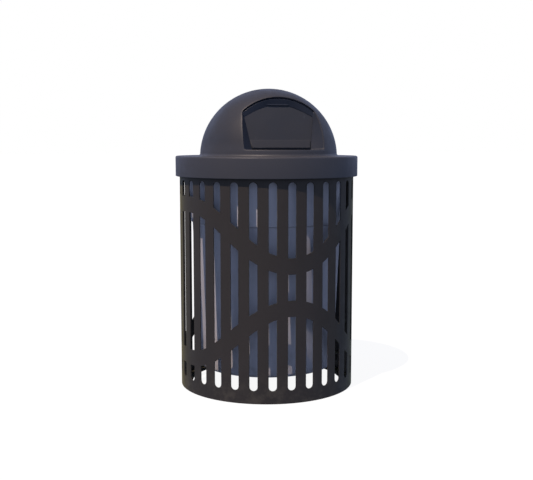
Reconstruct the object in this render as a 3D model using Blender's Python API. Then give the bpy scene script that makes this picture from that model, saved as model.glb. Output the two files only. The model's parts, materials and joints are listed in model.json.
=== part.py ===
"""Litter bin: a slotted steel shell that holds a rigid liner, under a moulded dome lid with a swing door.

Metres, +Z up, the door faces -Y. The origin is the centre of the base, on the ground.
"""

import math

import bmesh
import bpy
from mathutils import Matrix, Vector

# Driving dimensions
GAP = 0.0003            # clearance between pieces that touch
FACETS = 48             # sides of the round pieces

SHELL_R = 0.3175        # outside radius of the slotted shell
SHELL_HEIGHT = 0.8348
SHEET = 0.0034          # thickness of the rolled sheet

SLOT_COUNT = 30
SLOT_WIDTH = 0.0281
SLOT_LOW = 0.0454       # lowest point of the slots' round feet
SLOT_HIGH = 0.7553      # highest point of the slots' round heads
SLOT_ARC_STEPS = 6

BAND_MIDDLE = 0.4004    # height about which the two wave bands mirror each other
BAND_HALF_WIDTH = 0.0276
BAND_OFFSET = 0.1919    # mean height of a band's centre line above or below the middle
BAND_WAVES = (-0.1042, -0.0203, 0.0047)   # second, fourth and sixth harmonics round the shell
BAND_EDGE_STEPS = 2

HOOP_THICKNESS = 0.006
TOP_RING_LOW = 0.806
TOP_RING_HEIGHT = 0.025
BASE_RING_INNER_R = 0.276
BASE_RING_HEIGHT = 0.005
ANCHOR_COUNT = 3
ANCHOR_HOLE_R = 0.007
ANCHOR_CIRCLE_R = 0.294

SUPPORT_ANGLES = {"front": -18.0, "right": 102.0, "left": -138.0}   # degrees round from the front
SUPPORT_WIDTH = 0.030
SUPPORT_PLATE = 0.005
SUPPORT_INNER_R = 0.246
SUPPORT_LEG_LOW = 0.030
SUPPORT_RIB_INSET = 0.012       # from the shelf's inner end

LINER_WALL = 0.0035
LINER_FLOOR_Z = 0.072
LINER_FOOT_R = 0.2479
LINER_NECK_Z = 0.5985   # top of the tapered body
LINER_NECK_R = 0.2715
LINER_STEP_Z = 0.6035   # foot of the collar
LINER_COLLAR_R = 0.2772
LINER_RIM_Z = 0.772
LINER_RIM_R = 0.2930
LINER_THROAT_R = 0.2820
LINER_LIP_DROP = 0.014
LINER_FOOT_ROUND = 0.014

SKIRT_R = 0.3315
SKIRT_LOW = 0.7666
SKIRT_HIGH = 0.8393
SKIRT_ROUND = 0.006
LID_WALL = 0.0042
DOME_R = 0.2478
DOME_RISE = 0.2450      # from DOME_Z to the crown
DOME_Z = 0.8342
DOME_Y = -0.0260        # the dome sits a little forward of the skirt's centre
DOME_RINGS = 11
DOME_FILLET = 0.008

RECESS_WALL = 0.0035
RECESS_BACK = 0.012     # how far the recess opens behind the door's face
FLARE_FOOT = (0.1018, -0.1102, -0.0081)     # from the door's corners out past the dome's surface
FLARE_SHOULDER = (0.0224, -0.0032, 0.0864)
FLARE_HEAD = (0.0128, -0.0448, 0.0992)
DOOR_LEAN = math.radians(17.2)      # the door's foot stands further out than its head
DOOR_HEAD = 0.1163      # distance of the door's face in front of the dome's axis, at DOOR_HEAD_Z
DOOR_HEAD_Z = 1.0125
DOOR_HEAD_HALF = 0.040
DOOR_SHOULDER_HALF = 0.1245
DOOR_SHOULDER_Z = 0.9755
DOOR_FOOT_HALF = 0.1065
DOOR_FOOT_Z = 0.8675
DOOR_WALL = 0.004
DOOR_OVERLAP = 0.0035   # how far the door laps behind the edge of the recess
DOOR_STOP_GAP = 0.0006
LIP_HEIGHT = 0.028      # the bent band along the door's foot
LIP_DEPTH = 0.0045
LIP_ROOT = 0.001        # how far the lip and the lugs run into what they stand on
LIP_EDGE = 0.002
LIP_ROUND = 0.006

PIN_R = 0.003
PIN_HALF = 0.0405
PIN_BEHIND_FACE = 0.0135
PIN_ABOVE_EDGE = 0.0025
BARREL_R = 0.0058
BARREL_HALF = 0.0195
EAR_R = 0.0072
EAR_INNER = 0.0315      # distance from the centre to an ear's inner face
EAR_WIDTH = 0.0055
EAR_REACH = 0.024
EAR_RISE = 0.020
EAR_SHOULDER = 0.0045
DRILL_HALF = 0.06
WEB_REACH = 0.030
CLIP_R = 0.0065
CLIP_WIDTH = 0.0012
HINGE_WASHER_R = 0.0068
HINGE_WASHER_WIDTH = 0.0010
SPRING_WIRE_R = 0.0008
SPRING_COIL_R = 0.0048
SPRING_TURNS = 3.875
SPRING_STEPS = 8        # points on each turn
SPRING_END_ROOM = 0.0014
SPRING_DOOR_ARM = 0.030
SPRING_WALL_ARM = (0.0095, 0.012)       # out of the door's face and up its slope, from the pin

TETHER_ANGLE = 180.0
TETHER_INSET = 0.032    # of the bolt, from the shell's outside
TETHER_PLATE = 0.003
TETHER_HALF_WIDTH = 0.011
TETHER_FOOT_OUT = 0.010
TETHER_FOOT_IN = 0.018
TETHER_DROP = 0.030
TETHER_EYE_DROP = 0.020
TETHER_CABLE_R = 0.003
TETHER_BOLT_R = 0.003
TETHER_HEAD_R = 0.0065
TETHER_HEAD_HEIGHT = 0.0035
TETHER_WASHER_R = 0.0085
TETHER_WASHER_HEIGHT = 0.0015
TETHER_NUT_HALF_FLATS = 0.005
TETHER_NUT_HEIGHT = 0.005
TETHER_THREAD_END = 0.002

LUG_LOW = 0.002         # above the top ring's lower edge
LUG_HEIGHT = 0.020
LUG_BLADE = 0.0105
LUG_BLADE_CUT = 0.002
LUG_EYE_R = 0.0025
LUG_EYE_OUT = 0.0065
LUG_EYE_UP = 0.009

POWDER_COAT = (0.031, 0.031, 0.035, 1.0)
DARK_PLASTIC = (0.043, 0.043, 0.052, 1.0)
LINER_PLASTIC = (0.060, 0.062, 0.070, 1.0)
ZINC = (0.55, 0.55, 0.56, 1.0)
SPRING_STEEL = (0.32, 0.32, 0.33, 1.0)
NYLON = (0.75, 0.74, 0.70, 1.0)


def clear_scene():
    for old in list(bpy.data.objects):
        bpy.data.objects.remove(old, do_unlink=True)


def material(name, colour, roughness, metallic):
    made = bpy.data.materials.new(name)
    made.use_nodes = True
    shader = made.node_tree.nodes["Principled BSDF"]
    shader.inputs["Base Color"].default_value = colour
    shader.inputs["Roughness"].default_value = roughness
    shader.inputs["Metallic"].default_value = metallic
    return made


def link(name, mesh, look=None):
    piece = bpy.data.objects.new(name, mesh)
    bpy.context.scene.collection.objects.link(piece)
    if look:
        mesh.materials.append(look)
    return piece


def finished(bm, name, sharp_degrees=35.0):
    """The bmesh as a mesh that is smooth except at edges sharper than the angle."""
    bmesh.ops.recalc_face_normals(bm, faces=bm.faces)
    mesh = bpy.data.meshes.new(name)
    bm.to_mesh(mesh)
    bm.free()
    mesh.shade_smooth()
    mesh.set_sharp_from_angle(angle=math.radians(sharp_degrees))
    return mesh


def around(radius, degrees, z=0.0):
    """A point at this angle round from the front, towards +X."""
    turn = math.radians(degrees)
    return Vector((radius * math.sin(turn), -radius * math.cos(turn), z))


def arc(centre, radius, start, end, steps):
    """Points (x, z) on an arc, with angles in degrees up from +x."""
    turns = [math.radians(start + (end - start) * i / steps) for i in range(steps + 1)]
    return [(centre[0] + radius * math.cos(t), centre[1] + radius * math.sin(t)) for t in turns]


def revolve(name, outline):
    """A closed outline of (radius, z) turned round Z. A point at radius 0 becomes a pole."""
    bm = bmesh.new()
    columns = []
    for i in range(FACETS):
        turn = 2 * math.pi * i / FACETS
        columns.append([(r * math.cos(turn), r * math.sin(turn), z) for r, z in outline])
    poles = {}
    rows = []
    for column in columns:
        row = []
        for j, point in enumerate(column):
            if outline[j][0] == 0.0:
                poles.setdefault(j, None)
                if poles[j] is None:
                    poles[j] = bm.verts.new(point)
                row.append(poles[j])
            else:
                row.append(bm.verts.new(point))
        rows.append(row)
    count = len(outline)
    for i in range(FACETS):
        here = rows[i]
        there = rows[(i + 1) % FACETS]
        for j in range(count):
            k = (j + 1) % count
            corners = []
            for vert in (here[j], there[j], there[k], here[k]):
                if vert not in corners:
                    corners.append(vert)
            if len(corners) > 2:
                bm.faces.new(corners)
    return finished(bm, name)


def prism(name, outline, direction):
    """A flat outline of 3-D points extruded along a vector."""
    bm = bmesh.new()
    near = [bm.verts.new(p) for p in outline]
    far = [bm.verts.new(Vector(p) + Vector(direction)) for p in outline]
    bm.faces.new(near)
    bm.faces.new(list(reversed(far)))
    for i in range(len(near)):
        k = (i + 1) % len(near)
        bm.faces.new((near[k], near[i], far[i], far[k]))
    return finished(bm, name)


def loft(name, sections):
    """Closed sections with equal point counts, joined one to the next and capped at both ends."""
    bm = bmesh.new()
    rings = [[bm.verts.new(p) for p in section] for section in sections]
    for first, second in zip(rings, rings[1:]):
        for i in range(len(first)):
            k = (i + 1) % len(first)
            bm.faces.new((first[i], first[k], second[k], second[i]))
    bm.faces.new(list(reversed(rings[0])))
    bm.faces.new(rings[-1])
    bmesh.ops.triangulate(bm, faces=bm.faces)
    return finished(bm, name)


def cylinder_x(name, radius, x0, x1, centre, facets=16):
    """A cylinder along X between x0 and x1, about the line through centre."""
    turns = [2 * math.pi * (i + 0.5) / facets for i in range(facets)]
    outline = [
        (x0, centre[1] + radius * math.cos(t), centre[2] + radius * math.sin(t)) for t in turns
    ]
    return prism(name, outline, (x1 - x0, 0.0, 0.0))


def cylinder_z(name, radius, z0, z1, centre, facets=16):
    turns = [2 * math.pi * (i + 0.5) / facets for i in range(facets)]
    outline = [
        (centre[0] + radius * math.cos(t), centre[1] + radius * math.sin(t), z0) for t in turns
    ]
    return prism(name, outline, (0.0, 0.0, z1 - z0))


def hexagon_z(name, half_flats, z0, z1, centre):
    return cylinder_z(name, half_flats / math.cos(math.pi / 6), z0, z1, centre, facets=6)


def helper(name, mesh):
    """A shape that only cuts or joins another."""
    piece = link(name, mesh)
    piece.hide_render = True
    piece.display_type = "WIRE"
    return piece


def boolean(piece, other, operation="DIFFERENCE"):
    modifier = piece.modifiers.new(other.name, "BOOLEAN")
    modifier.operation = operation
    modifier.solver = "EXACT"
    modifier.object = other


# Shell


def band_centre(degrees, side):
    """Height of a wave band's centre line: side is 1 for the upper band, -1 for the lower one."""
    turn = math.radians(degrees)
    lift = BAND_OFFSET + sum(
        wave * math.cos(2 * (n + 1) * turn) for n, wave in enumerate(BAND_WAVES)
    )
    return BAND_MIDDLE + side * lift


def band_edge(degrees, side, edge):
    """Height of a band's upper (edge 1) or lower (edge -1) border, with the width kept normal to the band."""
    step = 0.5
    rise = band_centre(degrees + step, side) - band_centre(degrees - step, side)
    slope = rise / (SHELL_R * math.radians(2 * step))
    return band_centre(degrees, side) + edge * BAND_HALF_WIDTH * math.sqrt(1 + slope * slope)


def band_border(slot_degrees, half_degrees, side, edge):
    """The border's points (angle, z) across one slot, from left to right."""
    angles = [
        slot_degrees + half_degrees * (2 * i / BAND_EDGE_STEPS - 1)
        for i in range(BAND_EDGE_STEPS + 1)
    ]
    return [(a, band_edge(a, side, edge)) for a in angles]


def slot_end(slot_degrees, z_tip, upward):
    """The round end of a slot as (angle, z) points from left to right."""
    radius = SLOT_WIDTH / 2
    centre_z = z_tip - upward * radius
    points = []
    for i in range(SLOT_ARC_STEPS + 1):
        turn = math.pi * (1 - i / SLOT_ARC_STEPS)
        angle = slot_degrees + math.degrees(radius * math.cos(turn) / SHELL_R)
        points.append((angle, centre_z + upward * radius * math.sin(turn)))
    return points


def shell_patches():
    """The uncut sheet between the slots as flat polygons of (angle, z)."""
    half = math.degrees(SLOT_WIDTH / 2 / SHELL_R)
    pitch = 360.0 / SLOT_COUNT
    columns = []
    for k in range(SLOT_COUNT):
        middle = k * pitch
        foot = slot_end(middle, SLOT_LOW, -1)
        low_bottom = band_border(middle, half, -1, -1)
        low_top = band_border(middle, half, -1, 1)
        high_bottom = band_border(middle, half, 1, -1)
        high_top = band_border(middle, half, 1, 1)
        head = slot_end(middle, SLOT_HIGH, 1)
        columns.append((foot, low_bottom, low_top, high_bottom, high_top, head))
    patches = []
    for k, (foot, low_bottom, low_top, high_bottom, high_top, head) in enumerate(columns):
        left = foot[0][0]
        right = foot[-1][0]
        patches.append([(left, 0.0), (right, 0.0)] + foot[::-1])
        patches.append(low_bottom + low_top[::-1])
        patches.append(high_bottom + high_top[::-1])
        patches.append(head + [(right, SHELL_HEIGHT), (left, SHELL_HEIGHT)])
        following = columns[(k + 1) % SLOT_COUNT]
        wrap = 360.0 if k == SLOT_COUNT - 1 else 0.0
        left_side = [(right, 0.0)] + [line[-1] for line in columns[k]] + [(right, SHELL_HEIGHT)]
        next_left = following[0][0][0] + wrap
        right_side = [(next_left, 0.0)]
        right_side += [(line[0][0] + wrap, line[0][1]) for line in following]
        right_side += [(next_left, SHELL_HEIGHT)]
        patches.append(right_side + left_side[::-1])
    return patches


def make_shell(look):
    """The sheet is laid out flat, triangulated, rolled up and given its thickness inwards."""
    bm = bmesh.new()
    for patch in shell_patches():
        bm.faces.new([bm.verts.new((SHELL_R * math.radians(a), z, 0.0)) for a, z in patch])
    bmesh.ops.triangulate(bm, faces=bm.faces)
    for vert in bm.verts:
        turn = vert.co.x / SHELL_R
        vert.co = around(SHELL_R, math.degrees(turn), vert.co.y)
    bmesh.ops.remove_doubles(bm, verts=bm.verts, dist=1e-5)
    grown = bmesh.ops.extrude_face_region(bm, geom=list(bm.faces))
    shrink = (SHELL_R - SHEET) / SHELL_R
    for vert in grown["geom"]:
        if isinstance(vert, bmesh.types.BMVert):
            vert.co.x *= shrink
            vert.co.y *= shrink
    return link("shell", finished(bm, "shell"), look)


# Rings and supports inside the shell


def ring_outer_radius():
    """Largest round section that clears the flats of the faceted shell."""
    bar_degrees = 360.0 / SLOT_COUNT - math.degrees(SLOT_WIDTH / SHELL_R)
    return (SHELL_R - SHEET) * math.cos(math.radians(bar_degrees / 2)) - GAP


def make_rings(look):
    outer = ring_outer_radius()
    inner = outer - HOOP_THICKNESS
    high = TOP_RING_LOW + TOP_RING_HEIGHT
    hoop = [(outer, TOP_RING_LOW), (outer, high), (inner, high), (inner, TOP_RING_LOW)]
    link("top_ring", revolve("top_ring", hoop), look)
    plate = [
        (outer, 0.0),
        (outer, BASE_RING_HEIGHT),
        (BASE_RING_INNER_R, BASE_RING_HEIGHT),
        (BASE_RING_INNER_R, 0.0),
    ]
    base = link("base_ring", revolve("base_ring", plate), look)
    for i in range(ANCHOR_COUNT):
        centre = around(ANCHOR_CIRCLE_R, 360.0 * i / ANCHOR_COUNT)
        drill = cylinder_z("drill", ANCHOR_HOLE_R, -0.01, 0.02, centre)
        boolean(base, helper(f"anchor_hole_{i + 1}", drill))


def make_supports(look):
    """Gusseted brackets on the shell's wall that the liner stands on."""
    outer = ring_outer_radius()
    top = LINER_FLOOR_Z - GAP
    shelf = top - SUPPORT_PLATE
    half = SUPPORT_WIDTH / 2
    rib_half = SUPPORT_PLATE / 2
    inner_leg = outer - SUPPORT_PLATE
    angle_iron = [
        (outer, SUPPORT_LEG_LOW),
        (outer, top),
        (SUPPORT_INNER_R, top),
        (SUPPORT_INNER_R, shelf),
        (inner_leg, shelf),
        (inner_leg, SUPPORT_LEG_LOW),
    ]
    gusset = [
        (inner_leg + LIP_ROOT, SUPPORT_LEG_LOW + SUPPORT_PLATE),
        (inner_leg + LIP_ROOT, shelf + LIP_ROOT),
        (SUPPORT_INNER_R + SUPPORT_RIB_INSET, shelf + LIP_ROOT),
    ]
    for side, degrees in SUPPORT_ANGLES.items():
        bracket_mesh = prism("bracket", [(-half, -r, z) for r, z in angle_iron], (2 * half, 0, 0))
        rib_mesh = prism("rib", [(-rib_half, -r, z) for r, z in gusset], (2 * rib_half, 0, 0))
        turn = Matrix.Rotation(math.radians(degrees), 4, "Z")
        bracket_mesh.transform(turn)
        rib_mesh.transform(turn)
        bracket = link(f"liner_support_{side}", bracket_mesh, look)
        boolean(bracket, helper(f"support_rib_{side}", rib_mesh), "UNION")


# Liner


def make_liner(look):
    wall = LINER_WALL
    foot = LINER_FOOT_ROUND
    rim_round = LINER_LIP_DROP / 4
    outside = [
        (0.0, LINER_FLOOR_Z),
        *arc((LINER_FOOT_R - foot, LINER_FLOOR_Z + foot), foot, 270.0, 360.0, 3),
        (LINER_NECK_R, LINER_NECK_Z),
        (LINER_COLLAR_R, LINER_STEP_Z),
        (LINER_THROAT_R, LINER_RIM_Z - LINER_LIP_DROP),
        (LINER_RIM_R - wall, LINER_RIM_Z - LINER_LIP_DROP),
        (LINER_RIM_R, LINER_RIM_Z - LINER_LIP_DROP + rim_round),
        (LINER_RIM_R, LINER_RIM_Z - rim_round),
        (LINER_RIM_R - rim_round, LINER_RIM_Z),
    ]
    inside = [
        (LINER_THROAT_R - wall + rim_round, LINER_RIM_Z),
        (LINER_THROAT_R - wall, LINER_RIM_Z - rim_round),
        (LINER_COLLAR_R - wall, LINER_STEP_Z),
        (LINER_NECK_R - wall, LINER_NECK_Z),
        (LINER_FOOT_R - wall, LINER_FLOOR_Z + foot),
        (LINER_FOOT_R - foot, LINER_FLOOR_Z + wall),
        (0.0, LINER_FLOOR_Z + wall),
    ]
    return link("liner", revolve("liner", outside + inside), look)


# Lid


def door_axes():
    """Unit vectors down the door's slope and out of its face."""
    down = Vector((0.0, -math.sin(DOOR_LEAN), -math.cos(DOOR_LEAN)))
    out = Vector((0.0, -math.cos(DOOR_LEAN), math.sin(DOOR_LEAN)))
    return down, out


def on_door(x, z, depth=0.0):
    """A point on the door's face at this height, moved out of the face by depth."""
    _, out = door_axes()
    y = DOME_Y - DOOR_HEAD - (DOOR_HEAD_Z - z) * math.tan(DOOR_LEAN)
    return Vector((x, y, z)) + out * depth


def door_outline(grow, depth):
    """The door's six corners, moved outwards by grow and out of its face by depth."""
    right = [
        (DOOR_FOOT_HALF + grow, DOOR_FOOT_Z - grow),
        (DOOR_SHOULDER_HALF + grow, DOOR_SHOULDER_Z + grow / 2),
        (DOOR_HEAD_HALF + grow / 2, DOOR_HEAD_Z + grow),
    ]
    left = [(-x, z) for x, z in reversed(right)]
    return [on_door(x, z, depth) for x, z in right + left]


def funnel_flare():
    """How each corner of the recess spreads from the door out past the dome's surface."""
    right = [Vector(FLARE_FOOT), Vector(FLARE_SHOULDER), Vector(FLARE_HEAD)]
    left = [Vector((-v.x, v.y, v.z)) for v in reversed(right)]
    return right + left


def funnel(name, grow, back):
    """The recess as a solid, from behind the door's plane to beyond the dome, grown by a wall."""
    down, out = door_axes()
    mouth = door_outline(0.0, DOOR_STOP_GAP + RECESS_WALL)
    shift = []
    for point in mouth:
        side = 1.0 if point.x > 0 else -1.0
        up = -1.0 if point.z < (DOOR_FOOT_Z + DOOR_SHOULDER_Z) / 2 else 1.0
        shift.append(Vector((side * grow, 0.0, 0.0)) - out * grow - down * (up * grow))
    inner = [p + s for p, s in zip(mouth, shift)]
    outer = [p + s + f for p, s, f in zip(mouth, shift, funnel_flare())]
    sections = [inner, outer]
    if back:
        sections.insert(0, [p - out * back for p in inner])
    return loft(name, sections)


def pin_centre():
    """A point on the hinge pin's axis: behind the door's face, just above its top edge."""
    down, out = door_axes()
    top = on_door(0.0, DOOR_HEAD_Z + DOOR_OVERLAP)
    return top - out * PIN_BEHIND_FACE - down * PIN_ABOVE_EDGE


def lid_outside():
    """Half section (radius, z) of the skirt and flange, closed across the axis."""
    edge = SKIRT_ROUND / 4
    centre = (SKIRT_R - SKIRT_ROUND, SKIRT_HIGH - SKIRT_ROUND)
    return [
        (0.0, SKIRT_LOW),
        (SKIRT_R - edge, SKIRT_LOW),
        (SKIRT_R, SKIRT_LOW + edge),
        *arc(centre, SKIRT_ROUND, 0.0, 90.0, 3),
        (0.0, SKIRT_HIGH),
    ]


def lid_inside():
    """Half section of the room under the flange, open past the skirt's foot."""
    top = SKIRT_HIGH - LID_WALL
    inner = SKIRT_R - LID_WALL
    low = SKIRT_LOW - SKIRT_ROUND
    bend = SKIRT_ROUND - LID_WALL / 2
    return [
        (0.0, low),
        (inner, low),
        *arc((inner - bend, top - bend), bend, 0.0, 90.0, 2),
        (0.0, top),
    ]


def dome_section(wall, foot_z, fillet):
    """Half section of the dome, less a wall, on foot_z, with an optional flared fillet at its foot."""
    radius = DOME_R - wall
    rise = DOME_RISE - wall
    root = foot_z - LID_WALL / 2
    low_turn = math.degrees(math.asin((foot_z + fillet - DOME_Z) / rise))
    points = [(0.0, root)]
    if fillet:
        points += [(radius + fillet, root), (radius + fillet, foot_z)]
        points += arc((radius + fillet, foot_z + fillet), fillet, 270.0, 180.0, 3)[1:-1]
    else:
        points += [(radius, root)]
    for i in range(DOME_RINGS):
        turn = math.radians(low_turn + (90.0 - low_turn) * i / DOME_RINGS)
        points.append((radius * math.cos(turn), DOME_Z + rise * math.sin(turn)))
    points.append((0.0, DOME_Z + rise))
    return points


def ear(name, x0, x1):
    """A hinge ear: round about the pin, and reaching forward and up into the wall of the recess."""
    down, out = door_axes()
    centre = pin_centre()
    turns = [math.radians(t) for t in range(75, 376, 30)]
    outline = [centre + out * EAR_R * math.cos(t) - down * EAR_R * math.sin(t) for t in turns]
    outline.append(centre + out * EAR_REACH - down * EAR_SHOULDER)
    outline.append(centre + out * EAR_REACH - down * EAR_RISE)
    return prism(name, [(x0, p.y, p.z) for p in outline], (x1 - x0, 0.0, 0.0))


def make_lid(look):
    """Outer skin less the hollow; the hollow leaves the walls of the recess and the ears standing."""
    at_dome = (0.0, DOME_Y, 0.0)
    skin = link("lid", revolve("lid", lid_outside()), look)
    dome = dome_section(0.0, SKIRT_HIGH, DOME_FILLET)
    outer_dome = helper("dome_outside", revolve("dome_outside", dome))
    outer_dome.location = at_dome
    boolean(skin, outer_dome, "UNION")

    hollow = helper("lid_hollow", revolve("lid_hollow", lid_inside()))
    vault = dome_section(LID_WALL, SKIRT_HIGH - LID_WALL, 0.0)
    inner_dome = helper("dome_inside", revolve("dome_inside", vault))
    inner_dome.location = at_dome
    boolean(hollow, inner_dome, "UNION")
    boolean(hollow, helper("recess_walls", funnel("recess_walls", RECESS_WALL, 0.0)))
    for side, start in (("left", -EAR_INNER - EAR_WIDTH), ("right", EAR_INNER)):
        ear_mesh = ear("ear", start, start + EAR_WIDTH)
        boolean(hollow, helper(f"hinge_ear_{side}", ear_mesh))
    boolean(skin, hollow)
    boolean(skin, helper("recess", funnel("recess", 0.0, RECESS_BACK)))
    drill = cylinder_x("drill", PIN_R + GAP, -DRILL_HALF, DRILL_HALF, pin_centre())
    boolean(skin, helper("pin_hole", drill))
    bolt_at = tether_bolt_place()
    bolt_drill = cylinder_z("drill", TETHER_BOLT_R + GAP, SKIRT_LOW, SKIRT_HIGH + DRILL_HALF, bolt_at)
    boolean(skin, helper("tether_hole", bolt_drill))
    return skin


# Door and its hinge


def make_door(look, axis):
    """The flap with its bent lip, and the barrel that the pin runs through, hung from the hinge axis."""
    panel = loft("door", [door_outline(DOOR_OVERLAP, -DOOR_WALL), door_outline(DOOR_OVERLAP, 0.0)])
    door = link("door", panel, look)
    lip = [
        on_door(0.0, DOOR_FOOT_Z + LIP_HEIGHT, -LIP_ROOT),
        on_door(0.0, DOOR_FOOT_Z + LIP_HEIGHT, 0.0),
        on_door(0.0, DOOR_FOOT_Z + LIP_HEIGHT - LIP_ROUND, LIP_DEPTH * 0.55),
        on_door(0.0, DOOR_FOOT_Z + LIP_ROUND, LIP_DEPTH),
        on_door(0.0, DOOR_FOOT_Z + LIP_EDGE, LIP_DEPTH * 0.8),
        on_door(0.0, DOOR_FOOT_Z + LIP_EDGE, -LIP_ROOT),
    ]
    half = DOOR_FOOT_HALF - LIP_EDGE
    lip_mesh = prism("lip", [(-half, p.y, p.z) for p in lip], (2 * half, 0.0, 0.0))
    boolean(door, helper("door_lip", lip_mesh), "UNION")

    down, out = door_axes()
    centre = pin_centre()
    barrel = cylinder_x("barrel", BARREL_R, -BARREL_HALF, BARREL_HALF, centre, facets=20)
    boolean(door, helper("door_barrel", barrel), "UNION")
    web = [
        centre - out * BARREL_R * 0.4 + down * BARREL_R * 0.6,
        centre + out * BARREL_R * 0.6,
        centre + out * (PIN_BEHIND_FACE - DOOR_WALL / 2) + down * (PIN_ABOVE_EDGE + LIP_ROOT),
        centre + out * (PIN_BEHIND_FACE - DOOR_WALL / 2) + down * WEB_REACH,
    ]
    web_mesh = prism("web", [(-BARREL_HALF, p.y, p.z) for p in web], (2 * BARREL_HALF, 0.0, 0.0))
    boolean(door, helper("door_web", web_mesh), "UNION")
    drill = cylinder_x("drill", PIN_R + GAP, -DRILL_HALF, DRILL_HALF, centre)
    boolean(door, helper("barrel_hole", drill))
    door.data.transform(Matrix.Translation(-centre))
    door.parent = axis
    for modifier in door.modifiers:
        modifier.object.data.transform(Matrix.Translation(-centre))
        modifier.object.parent = axis
    return door


def pierced_disc(name, radius, start_x, end_x, centre, look):
    """A disc threaded on the hinge pin, between these two places along it."""
    low, high = min(start_x, end_x), max(start_x, end_x)
    disc = link(name, cylinder_x(name, radius, low, high, centre, facets=20), look)
    bore = cylinder_x("bore", PIN_R + GAP, low - CLIP_WIDTH, high + CLIP_WIDTH, centre)
    boolean(disc, helper(f"{name}_hole", bore))


def make_hinge(steel, spring_steel, nylon):
    centre = pin_centre()
    link("hinge_pin", cylinder_x("hinge_pin", PIN_R, -PIN_HALF, PIN_HALF, centre), steel)
    for side, sign in (("left", -1.0), ("right", 1.0)):
        outer = sign * (EAR_INNER + EAR_WIDTH + GAP)
        clip_end = outer + sign * CLIP_WIDTH
        pierced_disc(f"pin_clip_{side}", CLIP_R, outer, clip_end, centre, steel)
        inner = sign * (EAR_INNER - GAP)
        washer_end = inner - sign * HINGE_WASHER_WIDTH
        pierced_disc(f"hinge_washer_{side}", HINGE_WASHER_R, inner, washer_end, centre, nylon)
        make_spring(side, sign, centre, spring_steel)


def make_spring(side, sign, centre, look):
    """A torsion spring on the pin: one arm lies on the door's back, the other on the wall of the recess."""
    down, out = door_axes()
    room = EAR_INNER - HINGE_WASHER_WIDTH - BARREL_HALF
    start_x = sign * (BARREL_HALF + SPRING_END_ROOM)
    pitch = (room - 2 * SPRING_END_ROOM) / SPRING_TURNS
    total = int(SPRING_TURNS * SPRING_STEPS)
    door_arm_end = centre + out * (PIN_BEHIND_FACE - DOOR_WALL - SPRING_WIRE_R - GAP) + down * SPRING_DOOR_ARM
    points = [Vector((start_x, door_arm_end.y, door_arm_end.z))]
    for i in range(total + 1):
        turn = 2 * math.pi * i / SPRING_STEPS
        radial = out * math.cos(turn) - down * math.sin(turn)
        spot = centre + radial * SPRING_COIL_R
        spot.x = start_x + sign * pitch * i / SPRING_STEPS
        points.append(spot)
    last = points[-1]
    wall_arm_end = centre + out * SPRING_WALL_ARM[0] - down * SPRING_WALL_ARM[1]
    points.append(Vector((last.x, wall_arm_end.y, wall_arm_end.z)))
    curve = bpy.data.curves.new(f"torsion_spring_{side}", "CURVE")
    curve.dimensions = "3D"
    spline = curve.splines.new("POLY")
    spline.points.add(len(points) - 1)
    for point, place in zip(spline.points, points):
        point.co = (*place, 1.0)
    curve.bevel_depth = SPRING_WIRE_R
    curve.bevel_resolution = 1
    curve.use_fill_caps = True
    curve.materials.append(look)
    spring = bpy.data.objects.new(f"torsion_spring_{side}", curve)
    bpy.context.scene.collection.objects.link(spring)


# Tether fittings at the back


def tether_bolt_place():
    return around(SHELL_R - TETHER_INSET, TETHER_ANGLE)


def make_tether_eye(look, under):
    """The bent strip bolted under the lid's flange, with the hole for the cable in its hanging leg."""
    place = tether_bolt_place()
    plate_low = under - TETHER_PLATE
    drop = under - TETHER_DROP
    inward = Vector((0.0, -1.0, 0.0))
    angle_iron = [
        place - inward * TETHER_FOOT_OUT + Vector((0, 0, plate_low)),
        place - inward * TETHER_FOOT_OUT + Vector((0, 0, under)),
        place + inward * TETHER_FOOT_IN + Vector((0, 0, under)),
        place + inward * TETHER_FOOT_IN + Vector((0, 0, drop)),
        place + inward * (TETHER_FOOT_IN - TETHER_PLATE) + Vector((0, 0, drop)),
        place + inward * (TETHER_FOOT_IN - TETHER_PLATE) + Vector((0, 0, plate_low)),
    ]
    outline = [(-TETHER_HALF_WIDTH, p.y, p.z) for p in angle_iron]
    strip = prism("lid_tether_eye", outline, (2 * TETHER_HALF_WIDTH, 0.0, 0.0))
    eye = link("lid_tether_eye", strip, look)
    bolt_hole = cylinder_z("drill", TETHER_BOLT_R + GAP, drop, SKIRT_HIGH, place)
    boolean(eye, helper("eye_bolt_hole", bolt_hole))
    cable_hole = cylinder_z("drill", TETHER_CABLE_R, -TETHER_FOOT_OUT, TETHER_FOOT_OUT, (0.0, 0.0, 0.0))
    cable_hole.transform(Matrix.Rotation(math.pi / 2, 4, "X"))
    cable_at = place + inward * TETHER_FOOT_IN + Vector((0, 0, under - TETHER_EYE_DROP))
    cable_hole.transform(Matrix.Translation(cable_at))
    boolean(eye, helper("eye_cable_hole", cable_hole))


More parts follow.
